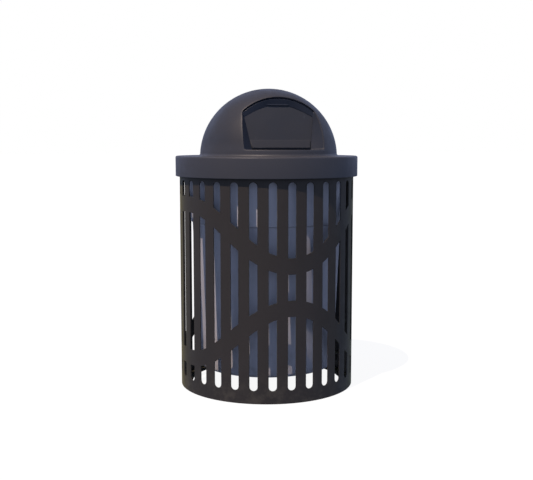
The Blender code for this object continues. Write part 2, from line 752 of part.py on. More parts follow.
def make_tether_bolt(look, under):
    """The bolt through the flange, with the washer under its head and the nut below the eye."""
    place = tether_bolt_place()
    bore_r = TETHER_BOLT_R + GAP
    washer_low = SKIRT_HIGH + GAP
    washer_high = washer_low + TETHER_WASHER_HEIGHT
    washer = cylinder_z("tether_washer", TETHER_WASHER_R, washer_low, washer_high, place, facets=20)
    washer_piece = link("tether_washer", washer, look)
    washer_bore = cylinder_z("bore", bore_r, SKIRT_LOW, washer_high + TETHER_WASHER_HEIGHT, place)
    boolean(washer_piece, helper("washer_bore", washer_bore))

    head_low = washer_high + GAP
    head_high = head_low + TETHER_HEAD_HEIGHT
    nut_high = under - TETHER_PLATE - GAP
    nut_low = nut_high - TETHER_NUT_HEIGHT
    shank = cylinder_z("tether_bolt", TETHER_BOLT_R, nut_low - TETHER_THREAD_END, head_low + LIP_ROOT, place)
    bolt = link("tether_bolt", shank, look)
    head = cylinder_z("head", TETHER_HEAD_R, head_low, head_high, place, facets=20)
    boolean(bolt, helper("bolt_head", head), "UNION")
    nut = link("tether_nut", hexagon_z("tether_nut", TETHER_NUT_HALF_FLATS, nut_low, nut_high, place), look)
    nut_bore = cylinder_z("bore", bore_r, SKIRT_LOW, SKIRT_HIGH, place)
    boolean(nut, helper("nut_bore", nut_bore))


def make_tether_lug(look):
    """The lug welded inside the top ring, with a blade that takes the other end of the cable."""
    ring_inner = ring_outer_radius() - HOOP_THICKNESS
    outer_y = ring_inner * math.cos(math.pi / FACETS) - GAP
    low = TOP_RING_LOW + LUG_LOW
    high = low + LUG_HEIGHT
    half = TETHER_HALF_WIDTH
    pad = [
        (-half, outer_y, low),
        (-half, outer_y, high),
        (-half, outer_y - TETHER_PLATE, high),
        (-half, outer_y - TETHER_PLATE, low),
    ]
    lug = link("shell_tether_lug", prism("shell_tether_lug", pad, (2 * half, 0, 0)), look)
    blade_half = TETHER_PLATE / 2
    blade = [
        (-blade_half, outer_y - LIP_ROOT, low),
        (-blade_half, outer_y - LIP_ROOT, high - LUG_BLADE_CUT),
        (-blade_half, outer_y - LUG_BLADE, high - LUG_BLADE_CUT),
        (-blade_half, outer_y - LUG_BLADE, low),
    ]
    boolean(lug, helper("lug_blade", prism("blade", blade, (2 * blade_half, 0.0, 0.0))), "UNION")
    eye = (0.0, outer_y - LUG_EYE_OUT, low + LUG_EYE_UP)
    drill = cylinder_x("eye", LUG_EYE_R, -TETHER_HALF_WIDTH, TETHER_HALF_WIDTH, eye)
    boolean(lug, helper("lug_eye", drill))


def main():
    clear_scene()
    powder = material("powder_coated_steel", POWDER_COAT, 0.62, 0.0)
    plastic = material("moulded_plastic", DARK_PLASTIC, 0.48, 0.0)
    liner_plastic = material("liner_plastic", LINER_PLASTIC, 0.5, 0.0)
    zinc = material("zinc_plated_steel", ZINC, 0.35, 1.0)
    spring_steel = material("spring_steel", SPRING_STEEL, 0.3, 1.0)
    nylon = material("nylon", NYLON, 0.45, 0.0)

    make_shell(powder)
    make_rings(powder)
    make_supports(powder)
    make_liner(liner_plastic)
    make_lid(plastic)
    axis = bpy.data.objects.new("door_axis", None)
    axis.location = pin_centre()
    bpy.context.scene.collection.objects.link(axis)
    make_door(plastic, axis)
    make_hinge(zinc, spring_steel, nylon)
    under_flange = SKIRT_HIGH - LID_WALL - GAP
    make_tether_eye(zinc, under_flange)
    make_tether_bolt(zinc, under_flange)
    make_tether_lug(powder)


main()
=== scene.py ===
"""Looks of the litter bin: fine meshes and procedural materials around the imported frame.

Metres, +Z up, the door faces -Y. An outline is listed as (radius, z), or as (y, z) to be extruded along X.
"""

import json
import math

import bmesh
import bpy
from mathutils import Matrix, Vector


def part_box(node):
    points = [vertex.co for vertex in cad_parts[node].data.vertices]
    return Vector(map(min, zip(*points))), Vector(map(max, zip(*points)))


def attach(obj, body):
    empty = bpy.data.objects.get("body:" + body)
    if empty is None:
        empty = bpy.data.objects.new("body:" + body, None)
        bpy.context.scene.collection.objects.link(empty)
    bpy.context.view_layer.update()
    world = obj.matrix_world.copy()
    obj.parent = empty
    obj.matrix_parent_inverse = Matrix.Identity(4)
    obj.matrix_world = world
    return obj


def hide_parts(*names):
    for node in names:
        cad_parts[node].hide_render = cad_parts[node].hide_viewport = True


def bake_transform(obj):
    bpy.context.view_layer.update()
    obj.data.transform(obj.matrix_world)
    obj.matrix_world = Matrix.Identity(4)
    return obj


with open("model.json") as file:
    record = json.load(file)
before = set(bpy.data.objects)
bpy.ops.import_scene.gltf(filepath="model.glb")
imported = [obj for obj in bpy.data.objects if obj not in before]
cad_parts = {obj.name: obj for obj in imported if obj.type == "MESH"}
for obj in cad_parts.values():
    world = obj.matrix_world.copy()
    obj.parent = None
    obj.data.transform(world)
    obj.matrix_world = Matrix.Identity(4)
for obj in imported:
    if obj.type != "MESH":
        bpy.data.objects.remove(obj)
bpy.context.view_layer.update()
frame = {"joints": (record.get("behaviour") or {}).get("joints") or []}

# What the frame gives
SHELL_R, _, SHELL_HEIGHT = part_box("shell")[1]
SHELL_INSIDE_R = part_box("top_ring")[1].x
SKIRT_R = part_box("lid")[1].x
SKIRT_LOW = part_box("lid")[0].z
LINER_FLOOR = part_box("liner")[0].z
LINER_RIM_R, _, LINER_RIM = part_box("liner")[1]
PIN = Vector(next(joint for joint in frame["joints"] if joint["name"] == "door_swing")["pos_m"])
PIN_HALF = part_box("hinge_pin")[1].x

# Shell
SHEET = 0.0034
SLOT_COUNT = 30
SLOT_WIDTH = 0.0281
SLOT_LOW = 0.0454
SLOT_HIGH = 0.7553
BAND_MIDDLE = 0.4004
BAND_HALF_WIDTH = 0.0276
BAND_OFFSET = 0.1919
BAND_WAVES = (-0.1042, -0.0203, 0.0047)
SLOT_COLUMNS = 12
BAR_COLUMNS = 8
SHEET_EDGE = 0.00025        # rounding of the cut edges under the coat
SEAM_ANGLE = 186.0          # of the upright weld, round from the front
SEAM_HALF = 0.0028
SEAM_PROUD = 0.0006
SEAM_END = 0.0015           # from the sheet's upper and lower edges
SEAM_PITCH = 0.0044         # of the weld's ripples
SEAM_ROWS = 380
SEAM_COLUMNS = 8

# Rings and brackets
TOP_RING_THICKNESS = 0.006
BASE_RING_INNER_R = 0.276
ANCHOR_COUNT = 3
ANCHOR_HOLE_R = 0.007
ANCHOR_CIRCLE_R = 0.294
SUPPORT_ANGLES = {"front": -18.0, "right": 102.0, "left": -138.0}
SUPPORT_WIDTH = 0.030
SUPPORT_PLATE = 0.005
SUPPORT_INNER_R = 0.246
SUPPORT_LOW = 0.030
SUPPORT_BEND_OUT = 0.006
SUPPORT_BEND_IN = 0.004
RIB_PLATE = 0.005
RIB_ROOT = 0.001            # how far the gusset runs into the bracket
RIB_INSET = 0.012           # from the shelf's inner end

# Liner
LINER_WALL = 0.0035
LINER_FOOT_R = 0.2479
LINER_FOOT_ROUND = 0.014
LINER_NECK_R = 0.2715
LINER_NECK_Z = 0.5985
LINER_COLLAR_R = 0.2772
LINER_STEP_Z = 0.6035       # foot of the collar
LINER_THROAT_R = 0.2820
LINER_LIP_DROP = 0.014
LINER_LIP_PLATE = 0.0028

# Lid
SKIRT_HIGH = 0.8393
SKIRT_ROUND = 0.006
SKIRT_FOOT_ROUND = 0.0019
LID_WALL = 0.0042
DOME_R = 0.2478
DOME_RISE = 0.2450
DOME = Vector((0.0, -0.0260, 0.8342))       # centre of the dome's ellipsoid
DOME_FILLET = 0.010
RECESS_SILL_Z = 0.8626
RECESS_FOOT_HALF = 0.1435
RECESS_SHOULDER_HALF = 0.1315
RECESS_CHEEK_BOW = (0.1475, 0.9383)     # control point of the cheek's outer edge
ARCH_R = 0.1996
ARCH_CENTRE_Z = 0.8459
RECESS_WALL = 0.0035
EDGE_ON_WALL = 0.0012       # how far the rounded edge of the recess reaches down its wall
EDGE_ON_DOME = 0.0065
BEAD_HALF = 0.040           # moulded bead above the door
BEAD_Z = 1.0165
BEAD_SPREAD = 0.0016
BEAD_PROUD = 0.0016
ARCH_FROM_Z = 0.9965        # the recess has a groove just inside its arch, above this height
ARCH_EASE = 0.004
GROOVE_START = 0.0014       # the groove's reach down the wall, from the mouth
GROOVE_END = 0.0090
GROOVE_DEPTH = 0.0090
GROOVE_LOOPS = 20
WALL_LOOPS = 26
DOME_LOOPS = 30
OPENING_EDGE = 0.0010       # height of the wall's straight start round the door
OPENING_CORNER = 0.004
MOUTH_CORNER = 0.007
SIDE_STEPS = (56, 40, 84, 40)       # points along the sill, the right cheek, the arch and the left cheek
CORNER_STEPS = 6
PAINTED_BOUNCE_FROM_Z = 0.900      # painted bounce light: the lid's plastic is painted lighter below this height, for light thrown up from the ground
PAINTED_BOUNCE_FULL_Z = 0.855
PAINTED_BOUNCE_LIGHTER = 1.42

# Door
DOOR_LEAN = math.radians(17.2)
DOOR_HEAD = 0.1163
DOOR_HEAD_Z = 1.0125
DOOR_HEAD_HALF = 0.040
DOOR_SHOULDER_HALF = 0.1245
DOOR_SHOULDER_Z = 0.9755
DOOR_FOOT_HALF = 0.1065
DOOR_FOOT_Z = 0.8675
OPENING_FOOT_Z = 0.8606     # the sill stays clear of the door's lower edge
DOOR_HEAD_SLOPE = 0.29      # of the top edge where it leaves its flat middle
DOOR_WALL = 0.004
DOOR_OVERLAP = 0.0035
DOOR_STOP_GAP = 0.0006
DOOR_COLUMNS = 84
DOOR_ROWS = 66
DOOR_CROWDING = 0.45 * math.pi      # how closely the columns crowd towards the door's sides
LIP_HEIGHT = 0.028
LIP_DEPTH = 0.0045
LIP_INSET = 0.0005
LIP_LOW = -0.0010

# Hinge
PIN_R = 0.003
PIN_DOME = 0.0008           # rounding of the pin's ends
BORE_R = 0.0033
BARREL_R = 0.0058
BARREL_HALF = 0.0195
BEHIND_FACE = 0.0135        # of the pin, behind the door's face
WEB_REACH = 0.030
EAR_R = 0.0072
EAR_INNER = 0.0315          # from the middle to an ear's inner face
EAR_WIDTH = 0.0055
EAR_HIGH = (0.0175, 0.0165)     # the ear's corners in the wall, out of the door's face and up its slope
EAR_LOW = (0.0150, 0.0045)
WASHER_WIDTH = 0.0010
CLIP_NECK_R = 0.0036
CLIP_NECK_INSIDE_R = 0.0031
SPRING_WIRE_R = 0.0008
SPRING_COIL_R = 0.0048
SPRING_TURNS = 3.875
SPRING_STEPS = 28           # points on each turn
SPRING_END_ROOM = 0.0014
SPRING_WALL_ARM = (0.0095, 0.012)

# Tether fittings
TETHER_PLATE = 0.003
EYE_HOLE_R = 0.003
EYE_HOLE_DROP = 0.020
WASHER_BORE_R = 0.0034
THREAD_LENGTH_FROM_EYE = 0.024      # the thread ends this far above the eye strip's foot
THREAD_PITCH = 0.0005
THREAD_R = 0.0030
THREAD_ROOT_R = 0.00255
SHANK_R = 0.0029
NUT_HALF_FLATS = 0.005
NUT_BORE_R = 0.0031
NUT_HEIGHT = 0.005
NUT_CHAMFER = 0.0007
LUG_HOLE_R = 0.0025

GAP = 0.0003

# Light and camera
CAMERA_AZIMUTH = -15.91
CAMERA_PITCH = math.radians(6.383)
CAMERA_DISTANCE = 3.2356
CAMERA_HEIGHT = 0.8905
CAMERA_LENS = 59.47
SUN_AZIMUTH = -50.3         # degrees round from the front, as the camera's
SUN_ELEVATION = math.radians(61.0)
SUN_STRENGTH = 4.7
SUN_COLOUR = (1.0, 0.80, 0.68)
SUN_SIZE = math.radians(0.3)
# The sky by the height of the direction, from straight down (0) to straight up (1)
SKY = ((0.0, (0.10, 0.12, 0.17)), (0.40, (0.36, 0.42, 0.60)), (0.50, (0.42, 0.48, 0.76)),
       (0.62, (0.60, 0.74, 1.18)), (1.0, (0.10, 0.16, 0.36)))
FLOOR_COLOUR = (0.07, 0.07, 0.07)
FLOOR_PATCHES = (0.0679, 0.0679, 0.0679)
FLOOR_GLOW = 0.93
FLOOR_HALF = 60.0
WHITE = (1.0, 1.0, 1.0)


# Small geometry helpers


def around(radius, degrees, z=0.0):
    """A point at this angle round from the front, towards +X."""
    turn = math.radians(degrees)
    return Vector((radius * math.sin(turn), -radius * math.cos(turn), z))


def smooth_step(value):
    value = min(1.0, max(0.0, value))
    return value * value * (3.0 - 2.0 * value)


def curve(a, b, c, t):
    """The quadratic curve from a to c that b pulls towards itself."""
    return a * (1 - t) ** 2 + b * (2 * t * (1 - t)) + c * t * t


def rounded(points, radii, steps=6):
    """A closed 2-D outline whose corners are arcs, each of its own radius; 0 keeps a corner."""
    made = []
    for i, (point, radius) in enumerate(zip(points, radii)):
        corner = Vector(point)
        if not radius:
            made.append(tuple(corner))
            continue
        back = (Vector(points[i - 1]) - corner).normalized()
        ahead = (Vector(points[(i + 1) % len(points)]) - corner).normalized()
        half = math.acos(max(-1.0, min(1.0, back.dot(ahead)))) / 2
        centre = corner + (back + ahead).normalized() * radius / math.sin(half)
        first = corner + back * radius / math.tan(half) - centre
        last = corner + ahead * radius / math.tan(half) - centre
        sweep = math.pi - 2 * half
        for k in range(steps + 1):
            t = k / steps
            spoke = (first * math.sin((1 - t) * sweep) + last * math.sin(t * sweep)) / math.sin(sweep)
            made.append(tuple(centre + spoke))
    return made


def loops_mesh(loops, close_ends=False):
    """Closed loops of equal length, joined one to the next; the last joins the first unless capped."""
    bm = bmesh.new()
    rings = [[bm.verts.new(point) for point in loop] for loop in loops]
    pairs = list(zip(rings, rings[1:]))
    if not close_ends:
        pairs.append((rings[-1], rings[0]))
    for first, second in pairs:
        for i in range(len(first)):
            k = (i + 1) % len(first)
            bm.faces.new((first[i], first[k], second[k], second[i]))
    if close_ends:
        bm.faces.new(rings[0])
        bm.faces.new(rings[-1])
    return mesh_of(bm)


def mesh_of(bm):
    bmesh.ops.recalc_face_normals(bm, faces=bm.faces)
    mesh = bpy.data.meshes.new("mesh")
    bm.to_mesh(mesh)
    bm.free()
    return mesh


def linked(name, data):
    """A new object of this data in the scene."""
    made = bpy.data.objects.new(name, data)
    bpy.context.scene.collection.objects.link(made)
    return made


def full_turn(steps):
    """The angles of equal steps round a circle."""
    return [2 * math.pi * i / steps for i in range(steps)]


def revolved(outline, segments=192):
    """A closed outline of (radius, z), none on the axis, turned round Z."""
    turns = full_turn(segments)
    return loops_mesh([[(r * math.sin(t), -r * math.cos(t), z) for r, z in outline] for t in turns])


def revolved_solid(outline, segments):
    """An open outline of (radius, z) from the axis round to the axis, turned round Z."""
    bm = bmesh.new()
    first = bm.verts.new((0.0, 0.0, outline[0][1]))
    last = bm.verts.new((0.0, 0.0, outline[-1][1]))
    rings = []
    for r, z in outline[1:-1]:
        rings.append([bm.verts.new((r * math.sin(t), -r * math.cos(t), z)) for t in full_turn(segments)])
    for i in range(segments):
        k = (i + 1) % segments
        bm.faces.new((first, rings[0][i], rings[0][k]))
        bm.faces.new((last, rings[-1][k], rings[-1][i]))
        for low, high in zip(rings, rings[1:]):
            bm.faces.new((low[i], high[i], high[k], low[k]))
    return mesh_of(bm)


def extruded(start, width, outline):
    """A flat outline of (y, z) extruded from x = start by its width."""
    near = [(start, y, z) for y, z in outline]
    return loops_mesh([near, [(start + width, y, z) for y, z in outline]], close_ends=True)


def place(name, mesh, body, look, replaced=(), sharp=35.0):
    """Links the mesh as a piece that rides on a body, with its look and the nodes it stands for."""
    mesh.name = name
    mesh.shade_smooth()
    mesh.set_sharp_from_angle(angle=math.radians(sharp))
    mesh.materials.append(look.material)
    piece = linked(name, mesh)
    if replaced:
        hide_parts(*replaced)
    if body:
        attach(piece, body)
    return piece


def drill(piece, name, radius, holes, depth=0.02, segments=32):
    """Cuts round holes along Z of the matrices in holes, with a cutter that never shows."""
    bm = bmesh.new()
    size = {"radius1": radius, "radius2": radius, "depth": depth, "segments": segments}
    for hole in holes:
        bmesh.ops.create_cone(bm, cap_ends=True, matrix=hole, **size)
    cutter = linked(name, mesh_of(bm))
    cutter.hide_render = cutter.hide_viewport = True
    cut = piece.modifiers.new(name, "BOOLEAN")
    cut.object = cutter
    cut.solver = "EXACT"


def soften(piece, width, segments=2, degrees=40.0):
    """Rounds the sharp edges of a piece."""
    bevel = piece.modifiers.new("soft_edges", "BEVEL")
    bevel.width = width
    bevel.segments = segments
    bevel.limit_method = "ANGLE"
    bevel.angle_limit = math.radians(degrees)
    bevel.harden_normals = True
    bevel.miter_outer = "MITER_ARC"
    return piece


# Materials


class Nodes:
    """The nodes of a material or a world."""

    def __init__(self, tree):
        self.tree = tree

    def fill(self, node, inputs):
        """Sets a node's inputs: a socket is linked, and a colour gets its alpha."""
        for key, value in inputs.items():
            socket = node.inputs[key]
            if isinstance(value, bpy.types.NodeSocket):
                self.tree.links.new(value, socket)
            else:
                socket.default_value = (*value, 1.0) if socket.type == "RGBA" else value

    def add(self, kind, inputs=None, **settings):
        node = self.tree.nodes.new(kind)
        for key, value in settings.items():
            setattr(node, key, value)
        self.fill(node, inputs or {})
        return node

    def z_of(self, vector):
        return self.add("ShaderNodeSeparateXYZ", {"Vector": vector}).outputs["Z"]


class Look(Nodes):
    """A Principled material for one slot, in the object's own coordinates."""

    def __init__(self, slot, roughness, metallic=0.0):
        self.slot = slot
        self.material = bpy.data.materials.new(slot)
        self.material.use_nodes = True
        super().__init__(self.material.node_tree)
        self.shader = self.tree.nodes["Principled BSDF"]
        self.surface(Metallic=metallic, Roughness=roughness)
        self.coords = self.add("ShaderNodeTexCoord").outputs["Object"]
        self.normal = None

    def stretched(self, scale):
        return self.add("ShaderNodeMapping", {"Vector": self.coords, "Scale": scale}).outputs["Vector"]

    def noise(self, scale, detail=3.0, rough=0.55, coords=None, distortion=0.0):
        inputs = {"Scale": scale, "Detail": detail, "Roughness": rough, "Distortion": distortion}
        return self.add("ShaderNodeTexNoise", {"Vector": coords or self.coords, **inputs}).outputs["Fac"]

    def cells(self, scale):
        inputs = {"Vector": self.coords, "Scale": scale}
        return self.add("ShaderNodeTexVoronoi", inputs, feature="SMOOTH_F1").outputs["Distance"]

    def spread(self, value, low, high, to_low=0.0, to_high=1.0):
        """Eases from to_low to to_high while the value goes from low to high."""
        inputs = {"Value": value, "From Min": low, "From Max": high, "To Min": to_low, "To Max": to_high}
        return self.add("ShaderNodeMapRange", inputs, interpolation_type="SMOOTHSTEP").outputs["Result"]

    def times(self, a, b):
        return self.add("ShaderNodeMath", {0: a, 1: b}, operation="MULTIPLY").outputs["Value"]

    def vector(self, operation, a, b=(0.0, 0.0, 0.0), output="Vector"):
        return self.add("ShaderNodeVectorMath", {0: a, 1: b}, operation=operation).outputs[output]

    def blend(self, factor, a, b):
        """Colour a where the factor is 0, b where it is 1."""
        return self.add("ShaderNodeMix", {0: factor, 6: a, 7: b}, data_type="RGBA").outputs[2]

    def stain(self, tone, mask, strength, colour):
        """The tone, partly covered with a colour where the mask is."""
        return self.blend(self.times(mask, strength), tone, colour)

    def height(self, value, distance, strength):
        inputs = {"Height": value, "Distance": distance, "Strength": strength}
        if self.normal:
            inputs["Normal"] = self.normal
        self.normal = self.add("ShaderNodeBump", inputs).outputs["Normal"]

    def geometry(self, name):
        return self.add("ShaderNodeNewGeometry").outputs[name]

    def surface(self, **inputs):
        """Gives the shader's inputs, named with underscores for spaces, their values."""
        self.fill(self.shader, {key.replace("_", " "): value for key, value in inputs.items()})

    def done(self):
        if self.normal:
            self.surface(Normal=self.normal)
        return self


def powder_coat():
    """Fine-textured black powder coat on steel, a little greyed by weather, with rubbed edges."""
    look = Look("powder_coated_steel", 0.5)
    weather = look.spread(look.noise(5.0, 5.0), 0.35, 0.70)
    speckle = look.spread(look.noise(900.0, 2.0), 0.45, 0.75)
    coat = look.blend(weather, (0.0210, 0.0192, 0.0192), (0.0245, 0.0222, 0.0222))
    coat = look.stain(coat, speckle, 0.35, (0.050, 0.049, 0.047))
    edges = look.spread(look.geometry("Pointiness"), 0.55, 0.72)
    rubbed = look.times(edges, look.spread(look.noise(60.0, 4.0), 0.50, 0.68))
    coat = look.stain(coat, rubbed, 0.5, (0.085, 0.083, 0.080))
    low = look.spread(look.z_of(look.coords), 0.14, 0.0)
    splash = look.times(low, look.spread(look.noise(28.0, 6.0, 0.65), 0.42, 0.66))
    look.surface(
        Base_Color=look.stain(coat, splash, 0.35, (0.075, 0.067, 0.052)),
        Roughness=look.spread(look.noise(22.0, 4.0), 0.3, 0.7, 0.64, 0.74),
        Specular_IOR_Level=0.22,
        Specular_Tint=(1.0, 0.90, 0.60),
        Sheen_Weight=0.18,
        Sheen_Roughness=0.30,
        Sheen_Tint=(1.0, 0.92, 0.15),
    )
    look.height(look.cells(1100.0), 0.00006, 0.55)
    look.height(look.noise(240.0, 2.0), 0.00008, 0.35)
    return look.done()


def moulded_plastic(slot, dark, light, roughness, recess_shade=None):
    """Matt black polyethylene with a fine mould grain, faint flow marks and light scuffs.

    Where a recess shade colour is given, the faces inside the dome's skin get it as painted shade, and the
    plastic low on the lid is painted lighter as painted bounce light.
    """
    look = Look(slot, roughness)
    flow = look.spread(look.noise(3.2, 4.0, 0.5, distortion=0.8), 0.32, 0.68)
    tone = look.blend(flow, dark, light)
    if recess_shade:
        z = look.z_of(look.coords)
        # painted bounce light: the lid's plastic is painted lighter towards its foot
        painted_bounce_mask = look.spread(z, PAINTED_BOUNCE_FROM_Z, PAINTED_BOUNCE_FULL_Z)
        tone = look.blend(painted_bounce_mask, tone, tuple(PAINTED_BOUNCE_LIGHTER * value for value in light))
        # painted shade: faces inside the dome's skin, above the sill, in the door's recess, take the
        # darker, bluer recess colour
        centred = look.vector("SUBTRACT", look.coords, DOME)
        scaled = look.vector("DIVIDE", centred, (DOME_R, DOME_R, DOME_RISE))
        inside = look.spread(look.vector("LENGTH", scaled, output="Value"), 0.995, 0.975)
        above = look.spread(z, RECESS_SILL_Z - 0.006, RECESS_SILL_Z + 0.002)
        tone = look.blend(look.times(inside, above), tone, recess_shade)
    scuffs = look.spread(look.noise(70.0, 6.0, 0.7, look.stretched((1.0, 1.0, 0.16))), 0.62, 0.78)
    tone = look.stain(tone, scuffs, 0.22, (0.105, 0.106, 0.115))
    facing_up = look.spread(look.z_of(look.geometry("Normal")), 0.55, 1.0)
    dust = look.times(facing_up, look.spread(look.noise(34.0, 6.0, 0.62), 0.40, 0.72))
    look.surface(
        Base_Color=look.stain(tone, dust, 0.05, (0.14, 0.135, 0.125)),
        Roughness=look.spread(look.noise(14.0, 4.0), 0.3, 0.7, roughness - 0.05, roughness + 0.08),
        Specular_IOR_Level=0.26,
    )
    look.height(look.cells(820.0), 0.00010, 0.5)
    look.height(look.noise(150.0, 3.0), 0.00010, 0.3)
    return look.done()


def liner_plastic():
    """Light grey polyethylene with upright drag marks and grime towards the foot."""
    look = Look("liner_plastic", 0.45)
    drag = look.noise(46.0, 5.0, 0.6, look.stretched((1.0, 1.0, 0.05)))
    tone = look.blend(look.spread(drag, 0.30, 0.70), (0.40, 0.405, 0.425), (0.47, 0.47, 0.485))
    tone = look.stain(tone, look.spread(look.noise(9.0, 5.0, 0.6), 0.35, 0.75), 0.35, (0.34, 0.335, 0.325))
    low = look.spread(look.z_of(look.coords), 0.28, 0.06)
    grime = look.times(low, look.spread(look.noise(22.0, 7.0, 0.68), 0.42, 0.70))
    look.surface(
        Base_Color=look.stain(tone, grime, 0.45, (0.17, 0.155, 0.13)),
        Roughness=look.spread(drag, 0.3, 0.7, 0.38, 0.52),
    )
    look.height(drag, 0.0002, 0.25)
    look.height(look.noise(420.0, 2.0), 0.00005, 0.3)
    return look.done()


def zinc_plate():
    """Bright zinc plate: mottled, with fine drawing marks along the wire or strip."""
    look = Look("zinc_plated_steel", 0.34, 1.0)
    mottle = look.spread(look.noise(260.0, 4.0, 0.6), 0.30, 0.72)
    tone = look.blend(mottle, (0.50, 0.51, 0.53), (0.66, 0.66, 0.65))
    dull = look.spread(look.noise(90.0, 5.0, 0.65), 0.48, 0.75)
    look.surface(
        Base_Color=look.stain(tone, dull, 0.4, (0.40, 0.385, 0.36)),
        Roughness=look.spread(look.noise(180.0, 4.0), 0.3, 0.7, 0.26, 0.46),
    )
    look.height(look.noise(700.0, 2.0, 0.5, look.stretched((0.1, 1.0, 1.0))), 0.00003, 0.5)
    return look.done()


def spring_wire():
    """Drawn spring steel with a thin oily bloom."""
    look = Look("spring_steel", 0.3, 1.0)
    bloom = look.spread(look.noise(320.0, 4.0, 0.6), 0.30, 0.75)
    look.surface(
        Base_Color=look.blend(bloom, (0.30, 0.30, 0.315), (0.42, 0.40, 0.375)),
        Roughness=look.spread(look.noise(500.0, 3.0), 0.3, 0.7, 0.22, 0.40),
    )
    look.height(look.noise(1500.0, 2.0), 0.00002, 0.4)
    return look.done()


def natural_nylon():
    """Off-white nylon with a waxy, slightly cloudy body."""
    look = Look("nylon", 0.42)
    cloud = look.spread(look.noise(240.0, 4.0), 0.30, 0.70)
    look.surface(
        Base_Color=look.blend(cloud, (0.70, 0.68, 0.62), (0.80, 0.79, 0.75)),
        Roughness=look.spread(look.noise(400.0, 3.0), 0.3, 0.7, 0.36, 0.5),
        Subsurface_Weight=0.15,
        Subsurface_Radius=(0.001, 0.001, 0.001),
    )
    look.height(look.noise(1200.0, 2.0), 0.00003, 0.4)
    return look.done()


POWDER = powder_coat()
# the last colour is painted shade for the faces inside the door's recess
PLASTIC = moulded_plastic(
    "moulded_plastic", (0.0215, 0.0218, 0.0230), (0.0250, 0.0252, 0.0265), 0.50, (0.0145, 0.0180, 0.0250)
)
DOOR_PLASTIC = moulded_plastic("door_plastic", (0.0188, 0.0206, 0.0232), (0.0222, 0.0240, 0.0268), 0.55)
LINER_PLASTIC = liner_plastic()
ZINC = zinc_plate()
SPRING_STEEL = spring_wire()
NYLON = natural_nylon()


# Shell


def band_centre(degrees, side):
    """Height of a wave band's centre line: side is 1 for the upper band, -1 for the lower one."""
    turn = math.radians(degrees)
    waves = sum(wave * math.cos(2 * (n + 1) * turn) for n, wave in enumerate(BAND_WAVES))
    return BAND_MIDDLE + side * (BAND_OFFSET + waves)


def band_edge(degrees, side, edge):
    """Height of a band's upper (edge 1) or lower (edge -1) border; the width is kept along the sheet."""
    step = 0.5
    rise = band_centre(degrees + step, side) - band_centre(degrees - step, side)
    slope = rise / (SHELL_R * math.radians(2 * step))
    return band_centre(degrees, side) + edge * BAND_HALF_WIDTH * math.sqrt(1 + slope * slope)


def slot_levels(middle, offset):
    """The heights at which the sheet starts and stops at this offset (metres) across a slot."""
    degrees = middle + math.degrees(offset / SHELL_R)
    radius = SLOT_WIDTH / 2
    cap = math.sqrt(max(0.0, radius * radius - offset * offset))
    return [
        0.0,
        SLOT_LOW + radius - cap,
        band_edge(degrees, -1, -1),
        band_edge(degrees, -1, 1),
        band_edge(degrees, 1, -1),
        band_edge(degrees, 1, 1),
        SLOT_HIGH - radius + cap,
        SHELL_HEIGHT,
    ]


def shell_columns():
    """Upright lines round the sheet as (degrees, heights, crosses a slot)."""
    radius = SLOT_WIDTH / 2
    pitch = 360.0 / SLOT_COUNT
    columns = []
    for k in range(SLOT_COUNT):
        middle = k * pitch
        for i in range(SLOT_COLUMNS + 1):
            offset = -radius * math.cos(math.pi * i / SLOT_COLUMNS)
            degrees = middle + math.degrees(offset / SHELL_R)
            columns.append((degrees, slot_levels(middle, offset), i < SLOT_COLUMNS))
        right = slot_levels(middle, radius)
        left = slot_levels(middle + pitch, -radius)
        start = middle + math.degrees(radius / SHELL_R)
        bar = pitch - 2 * math.degrees(radius / SHELL_R)
        for i in range(1, BAR_COLUMNS):
            t = i / BAR_COLUMNS
            levels = [a + (b - a) * t for a, b in zip(right, left)]
            columns.append((start + bar * t, levels, False))
    return columns


def make_shell():
    columns = shell_columns()
    bm = bmesh.new()
    lines = [[bm.verts.new(around(SHELL_R, degrees, z)) for z in levels] for degrees, levels, _ in columns]
    for i, (_, levels, over_slot) in enumerate(columns):
        here = lines[i]
        there = lines[(i + 1) % len(lines)]
        for row in range(len(levels) - 1):
            cut_away = over_slot and row % 2 == 1
            if not cut_away:
                bm.faces.new((here[row], there[row], there[row + 1], here[row + 1]))
    bmesh.ops.delete(bm, geom=[v for v in bm.verts if not v.link_faces], context="VERTS")
    grown = bmesh.ops.extrude_face_region(bm, geom=list(bm.faces))
    shrink = (SHELL_R - SHEET) / SHELL_R
    for vert in grown["geom"]:
        if isinstance(vert, bmesh.types.BMVert):
            vert.co.x *= shrink
            vert.co.y *= shrink
    sheet = place("shell_sheet", mesh_of(bm), "shell", POWDER, ["shell"])
    soften(sheet, SHEET_EDGE, degrees=50.0)


def make_seam():
    """The upright weld where the rolled sheet closes at the back: a low bead with its ripples."""
    outside = SHELL_R * math.cos(math.radians(1.0)) + 0.00005
    loops = []
    for row in range(SEAM_ROWS + 1):
        z = SEAM_END + (SHELL_HEIGHT - 2 * SEAM_END) * row / SEAM_ROWS
        ripple = 0.82 + 0.18 * math.sin(2 * math.pi * z / SEAM_PITCH) + 0.05 * math.sin(z * 61.0)
        half = SEAM_HALF * (1.0 + 0.08 * math.sin(z * 97.0) + 0.05 * math.sin(z * 41.0))
        spread = math.degrees(half / SHELL_R)
        loop = []
        for i in range(SEAM_COLUMNS + 1):
            t = 2 * i / SEAM_COLUMNS - 1
            lift = SEAM_PROUD * ripple * math.sqrt(max(0.0, 1 - t * t)) - 0.0004 * (abs(t) == 1)
            loop.append(around(outside + lift, SEAM_ANGLE + t * spread, z))
        loop += [around(outside - 0.0012, SEAM_ANGLE + t * spread, z) for t in (0.9, -0.9)]
        loops.append(loop)
    place("shell_weld_seam", loops_mesh(loops, close_ends=True), "shell", POWDER)


# Rings and brackets


